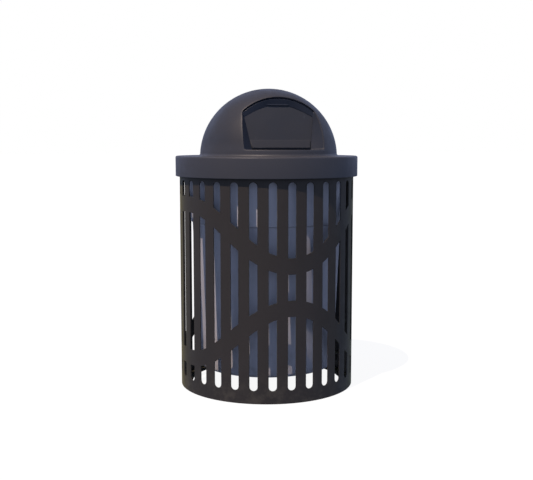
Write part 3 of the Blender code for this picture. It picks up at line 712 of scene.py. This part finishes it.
def hoop(inner, outer, low, high, edge, steps=3):
    """The outline of a ring with rounded edges, as (radius, height)."""
    return rounded([(outer, low), (outer, high), (inner, high), (inner, low)], [edge] * 4, steps)


def make_top_ring():
    low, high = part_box("top_ring")
    outline = hoop(high.x - TOP_RING_THICKNESS, high.x, low.z, high.z, 0.0008)
    place("top_hoop", revolved(outline), "shell", POWDER, ["top_ring"])


def make_base_ring():
    """A flat ring with its anchor holes."""
    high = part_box("base_ring")[1]
    outline = hoop(BASE_RING_INNER_R, high.x, 0.0, high.z, 0.0006, 2)
    ring = place("floor_ring", revolved(outline, 240), "shell", POWDER, ["base_ring"])
    holes = []
    for i in range(ANCHOR_COUNT):
        centre = around(ANCHOR_CIRCLE_R, 360.0 * i / ANCHOR_COUNT, high.z / 2)
        holes.append(Matrix.Translation(centre) @ Matrix.Rotation(math.radians(4.0), 4, "Z"))
    drill(ring, "anchor_drills", ANCHOR_HOLE_R, holes, 0.03, 40)


def make_brackets():
    """Bent brackets with a gusset: a leg on the shell's wall and a shelf under the liner."""
    outer = SHELL_INSIDE_R
    leg = outer - SUPPORT_PLATE
    top = LINER_FLOOR - GAP
    shelf = top - SUPPORT_PLATE
    section = rounded(
        [
            (-outer, SUPPORT_LOW), (-outer, top), (-SUPPORT_INNER_R, top),
            (-SUPPORT_INNER_R, shelf), (-leg, shelf), (-leg, SUPPORT_LOW),
        ],
        [0.0, SUPPORT_BEND_OUT, 0.0, 0.0, SUPPORT_BEND_IN, 0.0],
    )
    rib = [
        (-leg - RIB_ROOT, SUPPORT_LOW + 0.006),
        (-leg - RIB_ROOT, shelf + RIB_ROOT),
        (-SUPPORT_INNER_R - RIB_INSET, shelf + RIB_ROOT),
    ]
    for side, degrees in SUPPORT_ANGLES.items():
        turn = Matrix.Rotation(math.radians(degrees), 4, "Z")
        strip = extruded(-SUPPORT_WIDTH / 2, SUPPORT_WIDTH, section)
        strip.transform(turn)
        soften(place(f"bracket_{side}", strip, "shell", POWDER, [f"liner_support_{side}"]), 0.0008)
        gusset = extruded(-RIB_PLATE / 2, RIB_PLATE, rib)
        gusset.transform(turn)
        soften(place(f"bracket_rib_{side}", gusset, "shell", POWDER), 0.0006)


# Liner


def make_liner():
    lip_r = LINER_RIM_R - LINER_LIP_PLATE
    lip_top = LINER_RIM - LINER_LIP_DROP * 0.35
    lip_low = LINER_RIM - LINER_LIP_DROP
    floor_top = LINER_FLOOR + LINER_WALL
    corners = [
        (0.03, LINER_FLOOR, 0),
        (LINER_FOOT_R, LINER_FLOOR, LINER_FOOT_ROUND),
        (LINER_NECK_R, LINER_NECK_Z, 0.0012),
        (LINER_COLLAR_R, LINER_STEP_Z, 0.0018),
        (LINER_THROAT_R, LINER_RIM - 0.004, 0.002),
        (LINER_THROAT_R + LINER_WALL, lip_top, 0.001),
        (lip_r, lip_top, 0.001),
        (lip_r, lip_low, 0.0009),
        (LINER_RIM_R, lip_low, 0.0009),
        (LINER_RIM_R, LINER_RIM, 0.0032),
        (LINER_THROAT_R - LINER_WALL, LINER_RIM, 0.0030),
        (LINER_COLLAR_R - LINER_WALL, LINER_STEP_Z + 0.001, 0.003),
        (LINER_NECK_R - LINER_WALL, LINER_NECK_Z + 0.001, 0.002),
        (LINER_FOOT_R - LINER_WALL, floor_top, LINER_FOOT_ROUND - LINER_WALL),
        (0.03, floor_top, 0),
    ]
    skin = rounded([(r, z) for r, z, _ in corners], [radius for _, _, radius in corners])
    outline = [(0.0, LINER_FLOOR + 0.0004), *skin, (0.0, floor_top)]
    place("liner_can", revolved_solid(outline, 216), "liner", LINER_PLASTIC, ["liner"], 50.0)


# Lid


DOOR_OUT = Vector((0.0, -math.cos(DOOR_LEAN), math.sin(DOOR_LEAN)))
DOOR_DOWN = Vector((0.0, -math.sin(DOOR_LEAN), -math.cos(DOOR_LEAN)))


def on_door(x, z, depth=0.0):
    """A point on the door's face at this height, moved out of the face by depth."""
    y = DOME.y - DOOR_HEAD - (DOOR_HEAD_Z - z) * math.tan(DOOR_LEAN)
    return Vector((x, y, z)) + DOOR_OUT * depth


def door_top(x):
    """Height of the door's top edge: flat in the middle, with convex shoulders."""
    along = max(0.0, abs(x) - DOOR_HEAD_HALF)
    run = DOOR_SHOULDER_HALF - DOOR_HEAD_HALF
    drop = DOOR_HEAD_Z - DOOR_SHOULDER_Z
    bend = (drop - DOOR_HEAD_SLOPE * run) / (run * run)
    return DOOR_HEAD_Z - DOOR_HEAD_SLOPE * along - bend * along * along


def door_half(z):
    """Half the width of the opening at this height, below its shoulders."""
    t = (z - DOOR_FOOT_Z) / (DOOR_SHOULDER_Z - DOOR_FOOT_Z)
    return DOOR_FOOT_HALF + (DOOR_SHOULDER_HALF - DOOR_FOOT_HALF) * t


def opening_sides():
    """The opening's four sides as functions of 0..1 that give (x, z): sill, right, head, left."""
    shoulder = DOOR_SHOULDER_HALF
    foot = door_half(OPENING_FOOT_Z)
    rise = DOOR_SHOULDER_Z - OPENING_FOOT_Z
    return [
        lambda t: (foot * (2 * t - 1), OPENING_FOOT_Z),
        lambda t: (foot + (shoulder - foot) * t, OPENING_FOOT_Z + rise * t),
        lambda t: (shoulder * (1 - 2 * t), door_top(shoulder * (1 - 2 * t))),
        lambda t: (-shoulder + (shoulder - foot) * t, DOOR_SHOULDER_Z - rise * t),
    ]


def mouth_sides():
    """The same four sides where the recess meets the dome, as seen from the front."""
    foot = RECESS_FOOT_HALF
    shoulder = RECESS_SHOULDER_HALF
    corner_z = ARCH_CENTRE_Z + math.sqrt(ARCH_R**2 - shoulder**2)
    corners = Vector((foot, RECESS_SILL_Z)), Vector(RECESS_CHEEK_BOW), Vector((shoulder, corner_z))

    def cheek(t):
        return curve(*corners, t)

    def arch(t):
        x = shoulder * (1 - 2 * t)
        return x, ARCH_CENTRE_Z + math.sqrt(ARCH_R**2 - x * x)

    def left_cheek(t):
        x, z = cheek(1 - t)
        return -x, z

    return [lambda t: (foot * (2 * t - 1), RECESS_SILL_Z), cheek, arch, left_cheek]


def outline_points(sides, corner):
    """Points round four sides, with every corner rounded; their number doesn't depend on the sides."""
    lengths = []
    for side in sides:
        dots = [Vector(side(i / 24)) for i in range(25)]
        lengths.append(sum((b - a).length for a, b in zip(dots, dots[1:])))
    points = []
    for j, side in enumerate(sides):
        cut = corner / lengths[j]
        steps = SIDE_STEPS[j]
        for i in range(steps + 1):
            t = i / steps
            eased = t + 0.12 * math.sin(2 * math.pi * t) / -math.pi
            points.append(Vector(side(cut + (1 - 2 * cut) * eased)))
        following = sides[(j + 1) % 4]
        start = points[-1]
        end = Vector(following(corner / lengths[(j + 1) % 4]))
        tip = Vector(side(1.0))
        for i in range(1, CORNER_STEPS):
            t = i / CORNER_STEPS
            points.append(curve(start, tip, end, t))
    return points


def outward(points):
    """Unit normals that point out of a 2-D outline listed anticlockwise."""
    normals = []
    for i in range(len(points)):
        along = points[(i + 1) % len(points)] - points[i - 1]
        normals.append(Vector((along.y, -along.x)).normalized())
    return normals


def dome_size(wall):
    """Half the size of the dome, or of the skin a wall's thickness inside it."""
    return Vector((DOME_R - wall, DOME_R - wall, DOME_RISE - wall))


def on_dome(direction, wall=0.0):
    """The point of the dome, or of the skin inside it, in this unit direction."""
    return DOME + dome_size(wall) * direction


def dome_direction(x, z):
    """The unit direction of the front point of the dome at this x and z."""
    nx = x / DOME_R
    nz = (z - DOME.z) / DOME_RISE
    return Vector((nx, -math.sqrt(max(0.0, 1 - nx * nx - nz * nz)), nz))


def hit_dome(point, direction, wall):
    """Where a line from inside the dome meets the skin inside it, as a unit direction."""
    flat = Vector([1 / half for half in dome_size(wall)])
    p = (point - DOME) * flat
    d = direction * flat
    a = d.dot(d)
    b = p.dot(d)
    c = p.dot(p) - 1.0
    return (p + d * ((-b + math.sqrt(b * b - a * c)) / a)).normalized()


RECESS_AXIS = dome_direction(0.0, 0.966)


def outward_arc(direction, foot_z, wall):
    """Start, end and tangent of the great circle from the recess's axis through this direction."""
    axis = RECESS_AXIS
    start = axis.angle(direction)
    tangent = (direction - axis * axis.dot(direction)).normalized()
    level = (foot_z - DOME.z) / (DOME_RISE - wall)
    reach = math.hypot(axis.z, tangent.z)
    end = math.atan2(tangent.z, axis.z) + math.acos(level / reach)
    return start, end, tangent


def on_arc(tangent, angle):
    return RECESS_AXIS * math.cos(angle) + tangent * math.sin(angle)


def wall_face(inner, outer):
    """The wall's direction towards the mouth, its normal that points forwards, and its share of the groove
    and the bead, which only run under the arch."""
    along = (outer - inner).normalized()
    face = Vector((0.0, along.z, -along.y)).normalized()
    if face.y > 0:
        face.negate()
    return along, face, smooth_step((outer.z - ARCH_FROM_Z) / ARCH_EASE)


def wall_point(inner, outer, distance):
    """A point of the recess's wall at this distance inside the mouth, with its groove and bead."""
    along, face, arch = wall_face(inner, outer)
    point = outer - along * distance
    dip = smooth_step((distance - GROOVE_START) / 0.0008) * smooth_step((GROOVE_END - distance) / 0.0030)
    ends = smooth_step((BEAD_HALF + 0.004 - abs(point.x)) / 0.012)
    crest = math.exp(-(((point.z - BEAD_Z) / BEAD_SPREAD) ** 2))
    return point + face * (BEAD_PROUD * ends * crest * arch - GROOVE_DEPTH * arch * dip)


def groove_shift(inner, outer):
    """How far the hidden side of the wall stands back behind the groove."""
    _, face, arch = wall_face(inner, outer)
    return face * (-GROOVE_DEPTH * arch)


def back_point(inner, outer, shift, t):
    """The hidden side of the wall, t from the dome (0) to the opening (1), level again near the opening."""
    return outer.lerp(inner + shift, t) - shift * smooth_step((t - 0.32) / 0.30)


def make_lid():
    """One closed skin in loops: out of the opening, over the dome and skirt, and back underneath."""
    opening = outline_points(opening_sides(), OPENING_CORNER)
    mouth = outline_points(mouth_sides(), MOUTH_CORNER)
    front = [on_door(p.x, p.y, DOOR_STOP_GAP + OPENING_EDGE) for p in opening]
    edge = [dome_direction(p.x, p.y) for p in mouth]
    rim = [on_dome(n) for n in edge]

    loops = [[on_door(p.x, p.y, DOOR_STOP_GAP + 0.0005) for p in opening]]
    near = GROOVE_END + 0.001
    for i in range(WALL_LOOPS):
        t = 1 - i / WALL_LOOPS
        loops.append([wall_point(a, b, near + ((b - a).length - near) * t) for a, b in zip(front, rim)])
    for i in range(GROOVE_LOOPS):
        distance = near + (EDGE_ON_WALL - near) * i / GROOVE_LOOPS
        loops.append([wall_point(a, b, distance) for a, b in zip(front, rim)])

    foot_z = SKIRT_HIGH + DOME_FILLET
    arcs = [outward_arc(n, foot_z, 0.0) for n in edge]
    turn = EDGE_ON_DOME / DOME_R
    for k in range(7):
        t = k / 7
        loop = []
        for a, b, (start, _, tangent) in zip(front, rim, arcs):
            low = b + (a - b).normalized() * EDGE_ON_WALL
            high = on_dome(on_arc(tangent, start + turn))
            weights = ((1 - t) ** 2, 1.5 * t * (1 - t), t * t)
            loop.append((low * weights[0] + b * weights[1] + high * weights[2]) / sum(weights))
        loops.append(loop)
    for k in range(DOME_LOOPS + 1):
        t = (k / DOME_LOOPS) ** 1.35
        loops.append([on_dome(on_arc(g, s + turn + (e - s - turn) * t)) for s, e, g in arcs])

    foot = loops[-1]
    angles = [math.atan2(p.x - DOME.x, DOME.y - p.y) for p in foot]
    foot_r = math.hypot(foot[0].x, foot[0].y - DOME.y)
    for k in range(1, 7):
        bend = math.radians(90.0 * k / 6)
        r = foot_r + DOME_FILLET * (1 - math.cos(bend))
        z = SKIRT_HIGH + DOME_FILLET * (1 - math.sin(bend))
        loops.append([Vector((r * math.sin(a), DOME.y - r * math.cos(a), z)) for a in angles])

    inner_skirt = SKIRT_R - LID_WALL
    under = SKIRT_HIGH - LID_WALL
    profile = rounded(
        [
            (SKIRT_R - 0.03, SKIRT_HIGH), (SKIRT_R, SKIRT_HIGH), (SKIRT_R, SKIRT_LOW),
            (inner_skirt, SKIRT_LOW), (inner_skirt, under), (SKIRT_R - 0.03, under),
        ],
        [0, SKIRT_ROUND, SKIRT_FOOT_ROUND, SKIRT_FOOT_ROUND, SKIRT_ROUND - LID_WALL / 2, 0],
        8,
    )
    for r, z in profile:
        loops.append([Vector((r * math.sin(a), -r * math.cos(a), z)) for a in angles])

    ends = list(zip(opening, outward(opening)))
    back = [on_door(p.x + n.x * RECESS_WALL, p.y + n.y * RECESS_WALL, DOOR_STOP_GAP) for p, n in ends]
    shifts = [groove_shift(f, rim_point) for f, rim_point in zip(front, rim)]
    inner_edge = [
        hit_dome(a + shift, b - f, LID_WALL) for a, shift, b, f in zip(back, shifts, rim, front)
    ]
    inner_arcs = [outward_arc(n, under, LID_WALL) for n in inner_edge]
    for k in range(20):
        t = 1 - k / 20
        loops.append([on_dome(on_arc(g, s + (e - s) * t), LID_WALL) for s, e, g in inner_arcs])
    inner_rim = [on_dome(n, LID_WALL) for n in inner_edge]
    for k in range(17):
        loops.append([back_point(a, b, shift, k / 16) for a, b, shift in zip(back, inner_rim, shifts)])
    loops.append([on_door(p.x + n.x * 0.0006, p.y + n.y * 0.0006, DOOR_STOP_GAP) for p, n in ends])
    place("lid_moulding", loops_mesh(loops), "lid", PLASTIC, ["lid"], 55.0)


def from_pin(out, down):
    """A point level with the pin's middle, moved out of the door's face and down its slope."""
    return PIN + DOOR_OUT * out + DOOR_DOWN * down


def make_ears():
    """The two hinge ears moulded on the back of the recess's wall, each round the pin on three sides."""
    outline = []
    for degrees in range(75, 376, 12):
        t = math.radians(degrees)
        outline.append(from_pin(EAR_R * math.cos(t), -EAR_R * math.sin(t)))
    outline += [from_pin(EAR_LOW[0], -EAR_LOW[1]), from_pin(EAR_HIGH[0], -EAR_HIGH[1])]
    for side, start in (("left", -EAR_INNER - EAR_WIDTH), ("right", EAR_INNER)):
        mesh = extruded(start, EAR_WIDTH, [(p.y, p.z) for p in outline])
        soften(place(f"hinge_ear_{side}", mesh, "lid", PLASTIC), 0.0007)


# Door


def door_surface(s, t, depth):
    """A point of the door's panel, s from -1 to 1 across and t from 0 to 1 up, moved out of its face."""
    grow = DOOR_OVERLAP
    foot_half = DOOR_FOOT_HALF + grow
    shoulder_half = DOOR_SHOULDER_HALF + grow
    x = s * (foot_half + (shoulder_half - foot_half) * t)
    low = DOOR_FOOT_Z - grow
    top = door_top(s * DOOR_SHOULDER_HALF) + grow
    return on_door(x, low + (top - low) * t, depth)


def make_door():
    front, back = [], []
    for row in range(DOOR_ROWS + 1):
        t = (row / DOOR_ROWS) ** 1.5
        for column in range(DOOR_COLUMNS + 1):
            s = math.sin((2 * column / DOOR_COLUMNS - 1) * DOOR_CROWDING) / math.sin(DOOR_CROWDING)
            flat = door_surface(s, t, 0.0)
            above = flat.z - DOOR_FOOT_Z
            ends = door_half(flat.z) - LIP_INSET - abs(flat.x)
            down = (LIP_HEIGHT - above) / (LIP_HEIGHT - LIP_LOW)
            wedge = LIP_DEPTH * (0.12 * smooth_step(down / 0.06) + 0.88 * min(1.0, max(0.0, down)))
            lip = wedge * smooth_step((above - LIP_LOW) / 0.0012) * smooth_step(ends / 0.0030)
            front.append(door_surface(s, t, lip))
            back.append(door_surface(s, t, -DOOR_WALL))
    bm = bmesh.new()
    sheets = [[bm.verts.new(p) for p in points] for points in (front, back)]
    width = DOOR_COLUMNS + 1
    for sheet in sheets:
        for row in range(DOOR_ROWS):
            for column in range(DOOR_COLUMNS):
                a = row * width + column
                bm.faces.new((sheet[a], sheet[a + 1], sheet[a + width + 1], sheet[a + width]))
    rim = list(range(DOOR_COLUMNS)) + [row * width + DOOR_COLUMNS for row in range(DOOR_ROWS)]
    rim += [DOOR_ROWS * width + DOOR_COLUMNS - i for i in range(DOOR_COLUMNS)]
    rim += [(DOOR_ROWS - row) * width for row in range(DOOR_ROWS)]
    for i, a in enumerate(rim):
        b = rim[(i + 1) % len(rim)]
        bm.faces.new((sheets[0][a], sheets[0][b], sheets[1][b], sheets[1][a]))
    panel = place("door_panel", mesh_of(bm), "door", DOOR_PLASTIC, ["door"], 50.0)
    soften(panel, 0.0006, degrees=70.0)


def round_pin(x, radius, turn):
    return x, PIN.y + radius * math.cos(turn), PIN.z + radius * math.sin(turn)


def turned_on_pin(outline):
    """A closed outline of (x, radius) turned round the hinge pin."""
    return loops_mesh([[round_pin(x, r, t) for x, r in outline] for t in full_turn(40)])


def sleeve(low, high, radius, edge):
    """A round sleeve on the hinge pin."""
    corners = [(low, radius), (high, radius), (high, BORE_R), (low, BORE_R)]
    return turned_on_pin(rounded(corners, [edge] * 4, 3))


def make_barrel():
    """The hinge barrel behind the door's head and the web that carries it."""
    half = BARREL_HALF
    place("door_barrel", sleeve(-half, half, BARREL_R, 0.0006), "door", DOOR_PLASTIC)
    back = BEHIND_FACE - DOOR_WALL / 2
    web = [
        from_pin(-BARREL_R * 0.35, BARREL_R * 0.86),
        from_pin(BARREL_R * 0.80, -BARREL_R * 0.45),
        from_pin(back, 0.0035),
        from_pin(back, WEB_REACH),
    ]
    mesh = extruded(-half, 2 * half, [(p.y, p.z) for p in web])
    soften(place("door_web", mesh, "door", DOOR_PLASTIC), 0.0005)


# Hinge hardware


def make_pin():
    end = [
        (-PIN_HALF, PIN_R - PIN_DOME),
        (-PIN_HALF + PIN_DOME * 0.3, PIN_R - PIN_DOME * 0.25),
        (-PIN_HALF + PIN_DOME, PIN_R),
    ]
    loops = []
    for x, r in end + [(-x, r) for x, r in reversed(end)]:
        loops.append([round_pin(x, r, t) for t in full_turn(36)])
    place("pin", loops_mesh(loops, close_ends=True), "lid", ZINC, ["hinge_pin"])


def make_clips_and_washers():
    for side, sign in (("left", -1.0), ("right", 1.0)):
        low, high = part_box(f"pin_clip_{side}")
        radius = (high.z - low.z) / 2
        near, far = (low.x, high.x) if sign > 0 else (high.x, low.x)
        section = [
            (near, radius), (near + sign * 0.0003, radius), (near + sign * 0.0005, radius * 0.72),
            (far, CLIP_NECK_R), (far - sign * 0.0002, CLIP_NECK_INSIDE_R),
            (near + sign * 0.0002, radius * 0.68), (near, radius * 0.72),
        ]
        place(f"push_clip_{side}", turned_on_pin(section), "lid", ZINC, [f"pin_clip_{side}"])
        low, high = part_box(f"hinge_washer_{side}")
        washer = sleeve(low.x, high.x, (high.z - low.z) / 2, 0.0002)
        place(f"nylon_washer_{side}", washer, "lid", NYLON, [f"hinge_washer_{side}"])


def swept(path, radius, sides=12):
    """A round wire along a path of points, with caps."""
    loops = []
    normal = Vector((0.3, 0.5, 0.8)).cross(path[1] - path[0]).normalized()
    for i, point in enumerate(path):
        ahead = path[min(i + 1, len(path) - 1)]
        behind = path[max(i - 1, 0)]
        along = (ahead - behind).normalized()
        normal = (normal - along * normal.dot(along)).normalized()
        side = along.cross(normal)
        turns = full_turn(sides)
        loops.append([point + normal * radius * math.cos(t) + side * radius * math.sin(t) for t in turns])
    return loops_mesh(loops, close_ends=True)


def make_springs():
    """Torsion springs whose coils turn between the lid's arm and the door's arm."""
    wire = SPRING_WIRE_R
    room = EAR_INNER - WASHER_WIDTH - BARREL_HALF - 2 * SPRING_END_ROOM
    arm = from_pin(BEHIND_FACE - DOOR_WALL - wire - GAP, WEB_REACH)
    first = from_pin(SPRING_COIL_R, 0.0)
    wall_end = from_pin(SPRING_WALL_ARM[0], -SPRING_WALL_ARM[1])
    for side, sign in (("left", -1.0), ("right", 1.0)):
        start_x = sign * (BARREL_HALF + SPRING_END_ROOM)
        path = []
        for k in range(6):
            spot = arm.lerp(first, k / 6)
            path.append(Vector((start_x, spot.y, spot.z)))
        for i in range(int(SPRING_TURNS * SPRING_STEPS) + 1):
            turn = 2 * math.pi * i / SPRING_STEPS
            spot = from_pin(SPRING_COIL_R * math.cos(turn), -SPRING_COIL_R * math.sin(turn))
            spot.x = start_x + sign * room / SPRING_TURNS * i / SPRING_STEPS
            path.append(spot)
        last = path[-1]
        for k in range(1, 5):
            path.append(last.lerp(Vector((last.x, wall_end.y, wall_end.z)), k / 4))
        node = f"torsion_spring_{side}"
        piece = place(f"spring_wire_{side}", swept(path, wire), None, SPRING_STEEL, [node])
        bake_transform(piece)


# Tether fittings


def place_upright(name, mesh, centre, replaced, sharp=35.0):
    """Places a turned piece of the lid's, with its axis moved to a centre."""
    mesh.transform(Matrix.Translation((centre.x, centre.y, 0.0)))
    place(name, mesh, "lid", ZINC, [replaced], sharp)


def make_tether():
    """The eye strip under the flange and the bolt, washer and nut that hold it."""
    low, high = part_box("lid_tether_eye")
    plate = TETHER_PLATE
    section = rounded(
        [
            (high.y, high.z - plate), (high.y, high.z), (low.y, high.z),
            (low.y, low.z), (low.y + plate, low.z), (low.y + plate, high.z - plate),
        ],
        [0.0, 0.0, plate * 1.6, 0.0, 0.0, plate],
    )
    strip = place("tether_strip", extruded(low.x, high.x - low.x, section), "lid", ZINC, ["lid_tether_eye"])
    eye = Matrix.Translation((0.0, low.y + plate / 2, high.z - EYE_HOLE_DROP))
    drill(strip, "eye_drill", EYE_HOLE_R, [eye @ Matrix.Rotation(math.pi / 2, 4, "X")])
    soften(strip, 0.0004)

    low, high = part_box("tether_washer")
    centre = (low + high) / 2
    washer = revolved(hoop(WASHER_BORE_R, (high.x - low.x) / 2, low.z, high.z, 0.0003), 48)
    place_upright("flat_washer", washer, centre, "tether_washer")
    make_bolt(centre)
    make_nut(centre)


def make_bolt(centre):
    """A dome-headed bolt with its thread below the nut."""
    low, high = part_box("tether_bolt")
    head_r = (high.x - low.x) / 2
    head_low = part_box("tether_washer")[1].z + GAP
    head_edge = 0.0005
    outline = [(0.0, low.z), (0.0022, low.z), (0.0027, low.z + 0.0006)]
    z = low.z + 0.0006
    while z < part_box("lid_tether_eye")[0].z + THREAD_LENGTH_FROM_EYE:
        outline += [(THREAD_R, z + THREAD_PITCH / 2), (THREAD_ROOT_R, z + THREAD_PITCH)]
        z += THREAD_PITCH
    outline += [(SHANK_R, z + 0.0006), (SHANK_R, head_low)]
    outline += [(head_r * 0.97, head_low), (head_r, head_low + head_edge)]
    for k in range(1, 9):
        turn = math.radians(90.0 * k / 9)
        rise = (high.z - head_low - head_edge) * math.sin(turn)
        outline.append((head_r * math.cos(turn), head_low + head_edge + rise))
    outline.append((0.0, high.z))
    place_upright("dome_bolt", revolved_solid(outline, 48), centre, "tether_bolt", 40.0)


def make_nut(centre):
    """A hexagon nut with its corners turned off at both ends."""
    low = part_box("tether_nut")[0].z
    corner = NUT_HALF_FLATS / math.cos(math.pi / 6)
    face_r = NUT_HALF_FLATS * 0.98
    outline = [
        (NUT_BORE_R, 0.0), (face_r, 0.0), (corner, NUT_CHAMFER),
        (corner, NUT_HEIGHT - NUT_CHAMFER), (face_r, NUT_HEIGHT), (NUT_BORE_R, NUT_HEIGHT),
    ]
    loops = []
    for limit, up in outline:
        loop = []
        for turn in full_turn(72):
            flat = NUT_HALF_FLATS / math.cos((turn + math.pi / 6) % (math.pi / 3) - math.pi / 6)
            r = min(limit, flat)
            loop.append((centre.x + r * math.sin(turn), centre.y - r * math.cos(turn), low + up))
        loops.append(loop)
    place("hex_nut", loops_mesh(loops), "lid", ZINC, ["tether_nut"], 30.0)


def make_lug():
    """The lug inside the top ring: a pad on the wall and a blade with a hole."""
    low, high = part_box("shell_tether_lug")
    plate = TETHER_PLATE
    pad = [(high.y, low.z), (high.y, high.z), (high.y - plate, high.z), (high.y - plate, low.z)]
    mesh = extruded(-high.x, 2 * high.x, pad)
    soften(place("lug_pad", mesh, "shell", POWDER, ["shell_tether_lug"]), 0.0006)
    root, top = high.y - 0.002, high.z - 0.002
    outline = rounded([(root, low.z), (root, top), (low.y, top), (low.y, low.z)], [0.0, 0.0, 0.004, 0.004])
    blade = place("lug_blade", extruded(-plate / 2, plate, outline), "shell", POWDER)
    eye = Matrix.Translation((0.0, high.y - 0.0065, low.z + 0.009))
    drill(blade, "lug_drill", LUG_HOLE_R, [eye @ Matrix.Rotation(math.pi / 2, 4, "Y")])
    soften(blade, 0.0005)


# Floor, light and camera


def make_stage():
    look = Look("floor", 0.9)
    grain = look.spread(look.noise(1.5, 3.0), 0.3, 0.7)
    look.surface(
        Base_Color=look.blend(grain, FLOOR_COLOUR, FLOOR_PATCHES),
        Specular_IOR_Level=0.0,
        Emission_Color=WHITE,
        Emission_Strength=FLOOR_GLOW,
    )
    mesh = bpy.data.meshes.new("floor")
    bm = bmesh.new()
    bmesh.ops.create_grid(bm, x_segments=2, y_segments=2, size=FLOOR_HALF)
    bm.to_mesh(mesh)
    bm.free()
    mesh.materials.append(look.done().material)
    floor = linked("floor", mesh)
    floor.visible_diffuse = floor.visible_glossy = False


def make_world():
    """A blue sky that lights the bin, behind a plain white backdrop that only the camera sees."""
    world = bpy.data.worlds.new("studio")
    bpy.context.scene.world = world
    world.use_nodes = True
    nodes = Nodes(world.node_tree)
    up = nodes.z_of(nodes.add("ShaderNodeTexCoord").outputs["Generated"])
    height = nodes.add("ShaderNodeMapRange", {"Value": up, "From Min": -1.0})
    ramp = nodes.add("ShaderNodeValToRGB", {"Fac": height.outputs["Result"]})
    stops = ramp.color_ramp.elements
    while len(stops) < len(SKY):
        stops.new(0.5)
    for stop, (level, colour) in zip(stops, SKY):
        stop.position = level
        stop.color = (*colour, 1.0)
    sky = world.node_tree.nodes["Background"]
    nodes.fill(sky, {"Color": ramp.outputs["Color"]})
    backdrop = nodes.add("ShaderNodeBackground", {"Color": WHITE})
    seen = nodes.add("ShaderNodeLightPath").outputs["Is Camera Ray"]
    shaders = {0: seen, 1: sky.outputs["Background"], 2: backdrop.outputs["Background"]}
    mix = nodes.add("ShaderNodeMixShader", shaders)
    nodes.fill(world.node_tree.nodes["World Output"], {"Surface": mix.outputs["Shader"]})


def make_sun():
    light = bpy.data.lights.new("sun", "SUN")
    light.energy = SUN_STRENGTH
    light.color = SUN_COLOUR
    light.angle = SUN_SIZE
    towards = around(math.cos(SUN_ELEVATION), SUN_AZIMUTH, math.sin(SUN_ELEVATION))
    linked("sun", light).rotation_euler = towards.to_track_quat("Z", "Y").to_euler()


def make_camera():
    data = bpy.data.cameras.new("camera")
    data.lens = CAMERA_LENS
    data.sensor_width = 36.0
    camera = linked("camera", data)
    camera.location = around(CAMERA_DISTANCE, CAMERA_AZIMUTH, CAMERA_HEIGHT)
    camera.rotation_euler = (math.pi / 2 - CAMERA_PITCH, 0.0, math.radians(CAMERA_AZIMUTH))
    bpy.context.scene.camera = camera


make_camera()
make_world()
make_sun()
make_stage()
make_shell()
make_seam()
make_top_ring()
make_base_ring()
make_brackets()
make_liner()
make_lid()
make_ears()
make_door()
make_barrel()
make_pin()
make_clips_and_washers()
make_springs()
make_tether()
make_lug()

bpy.context.scene.view_settings.view_transform = "Standard"
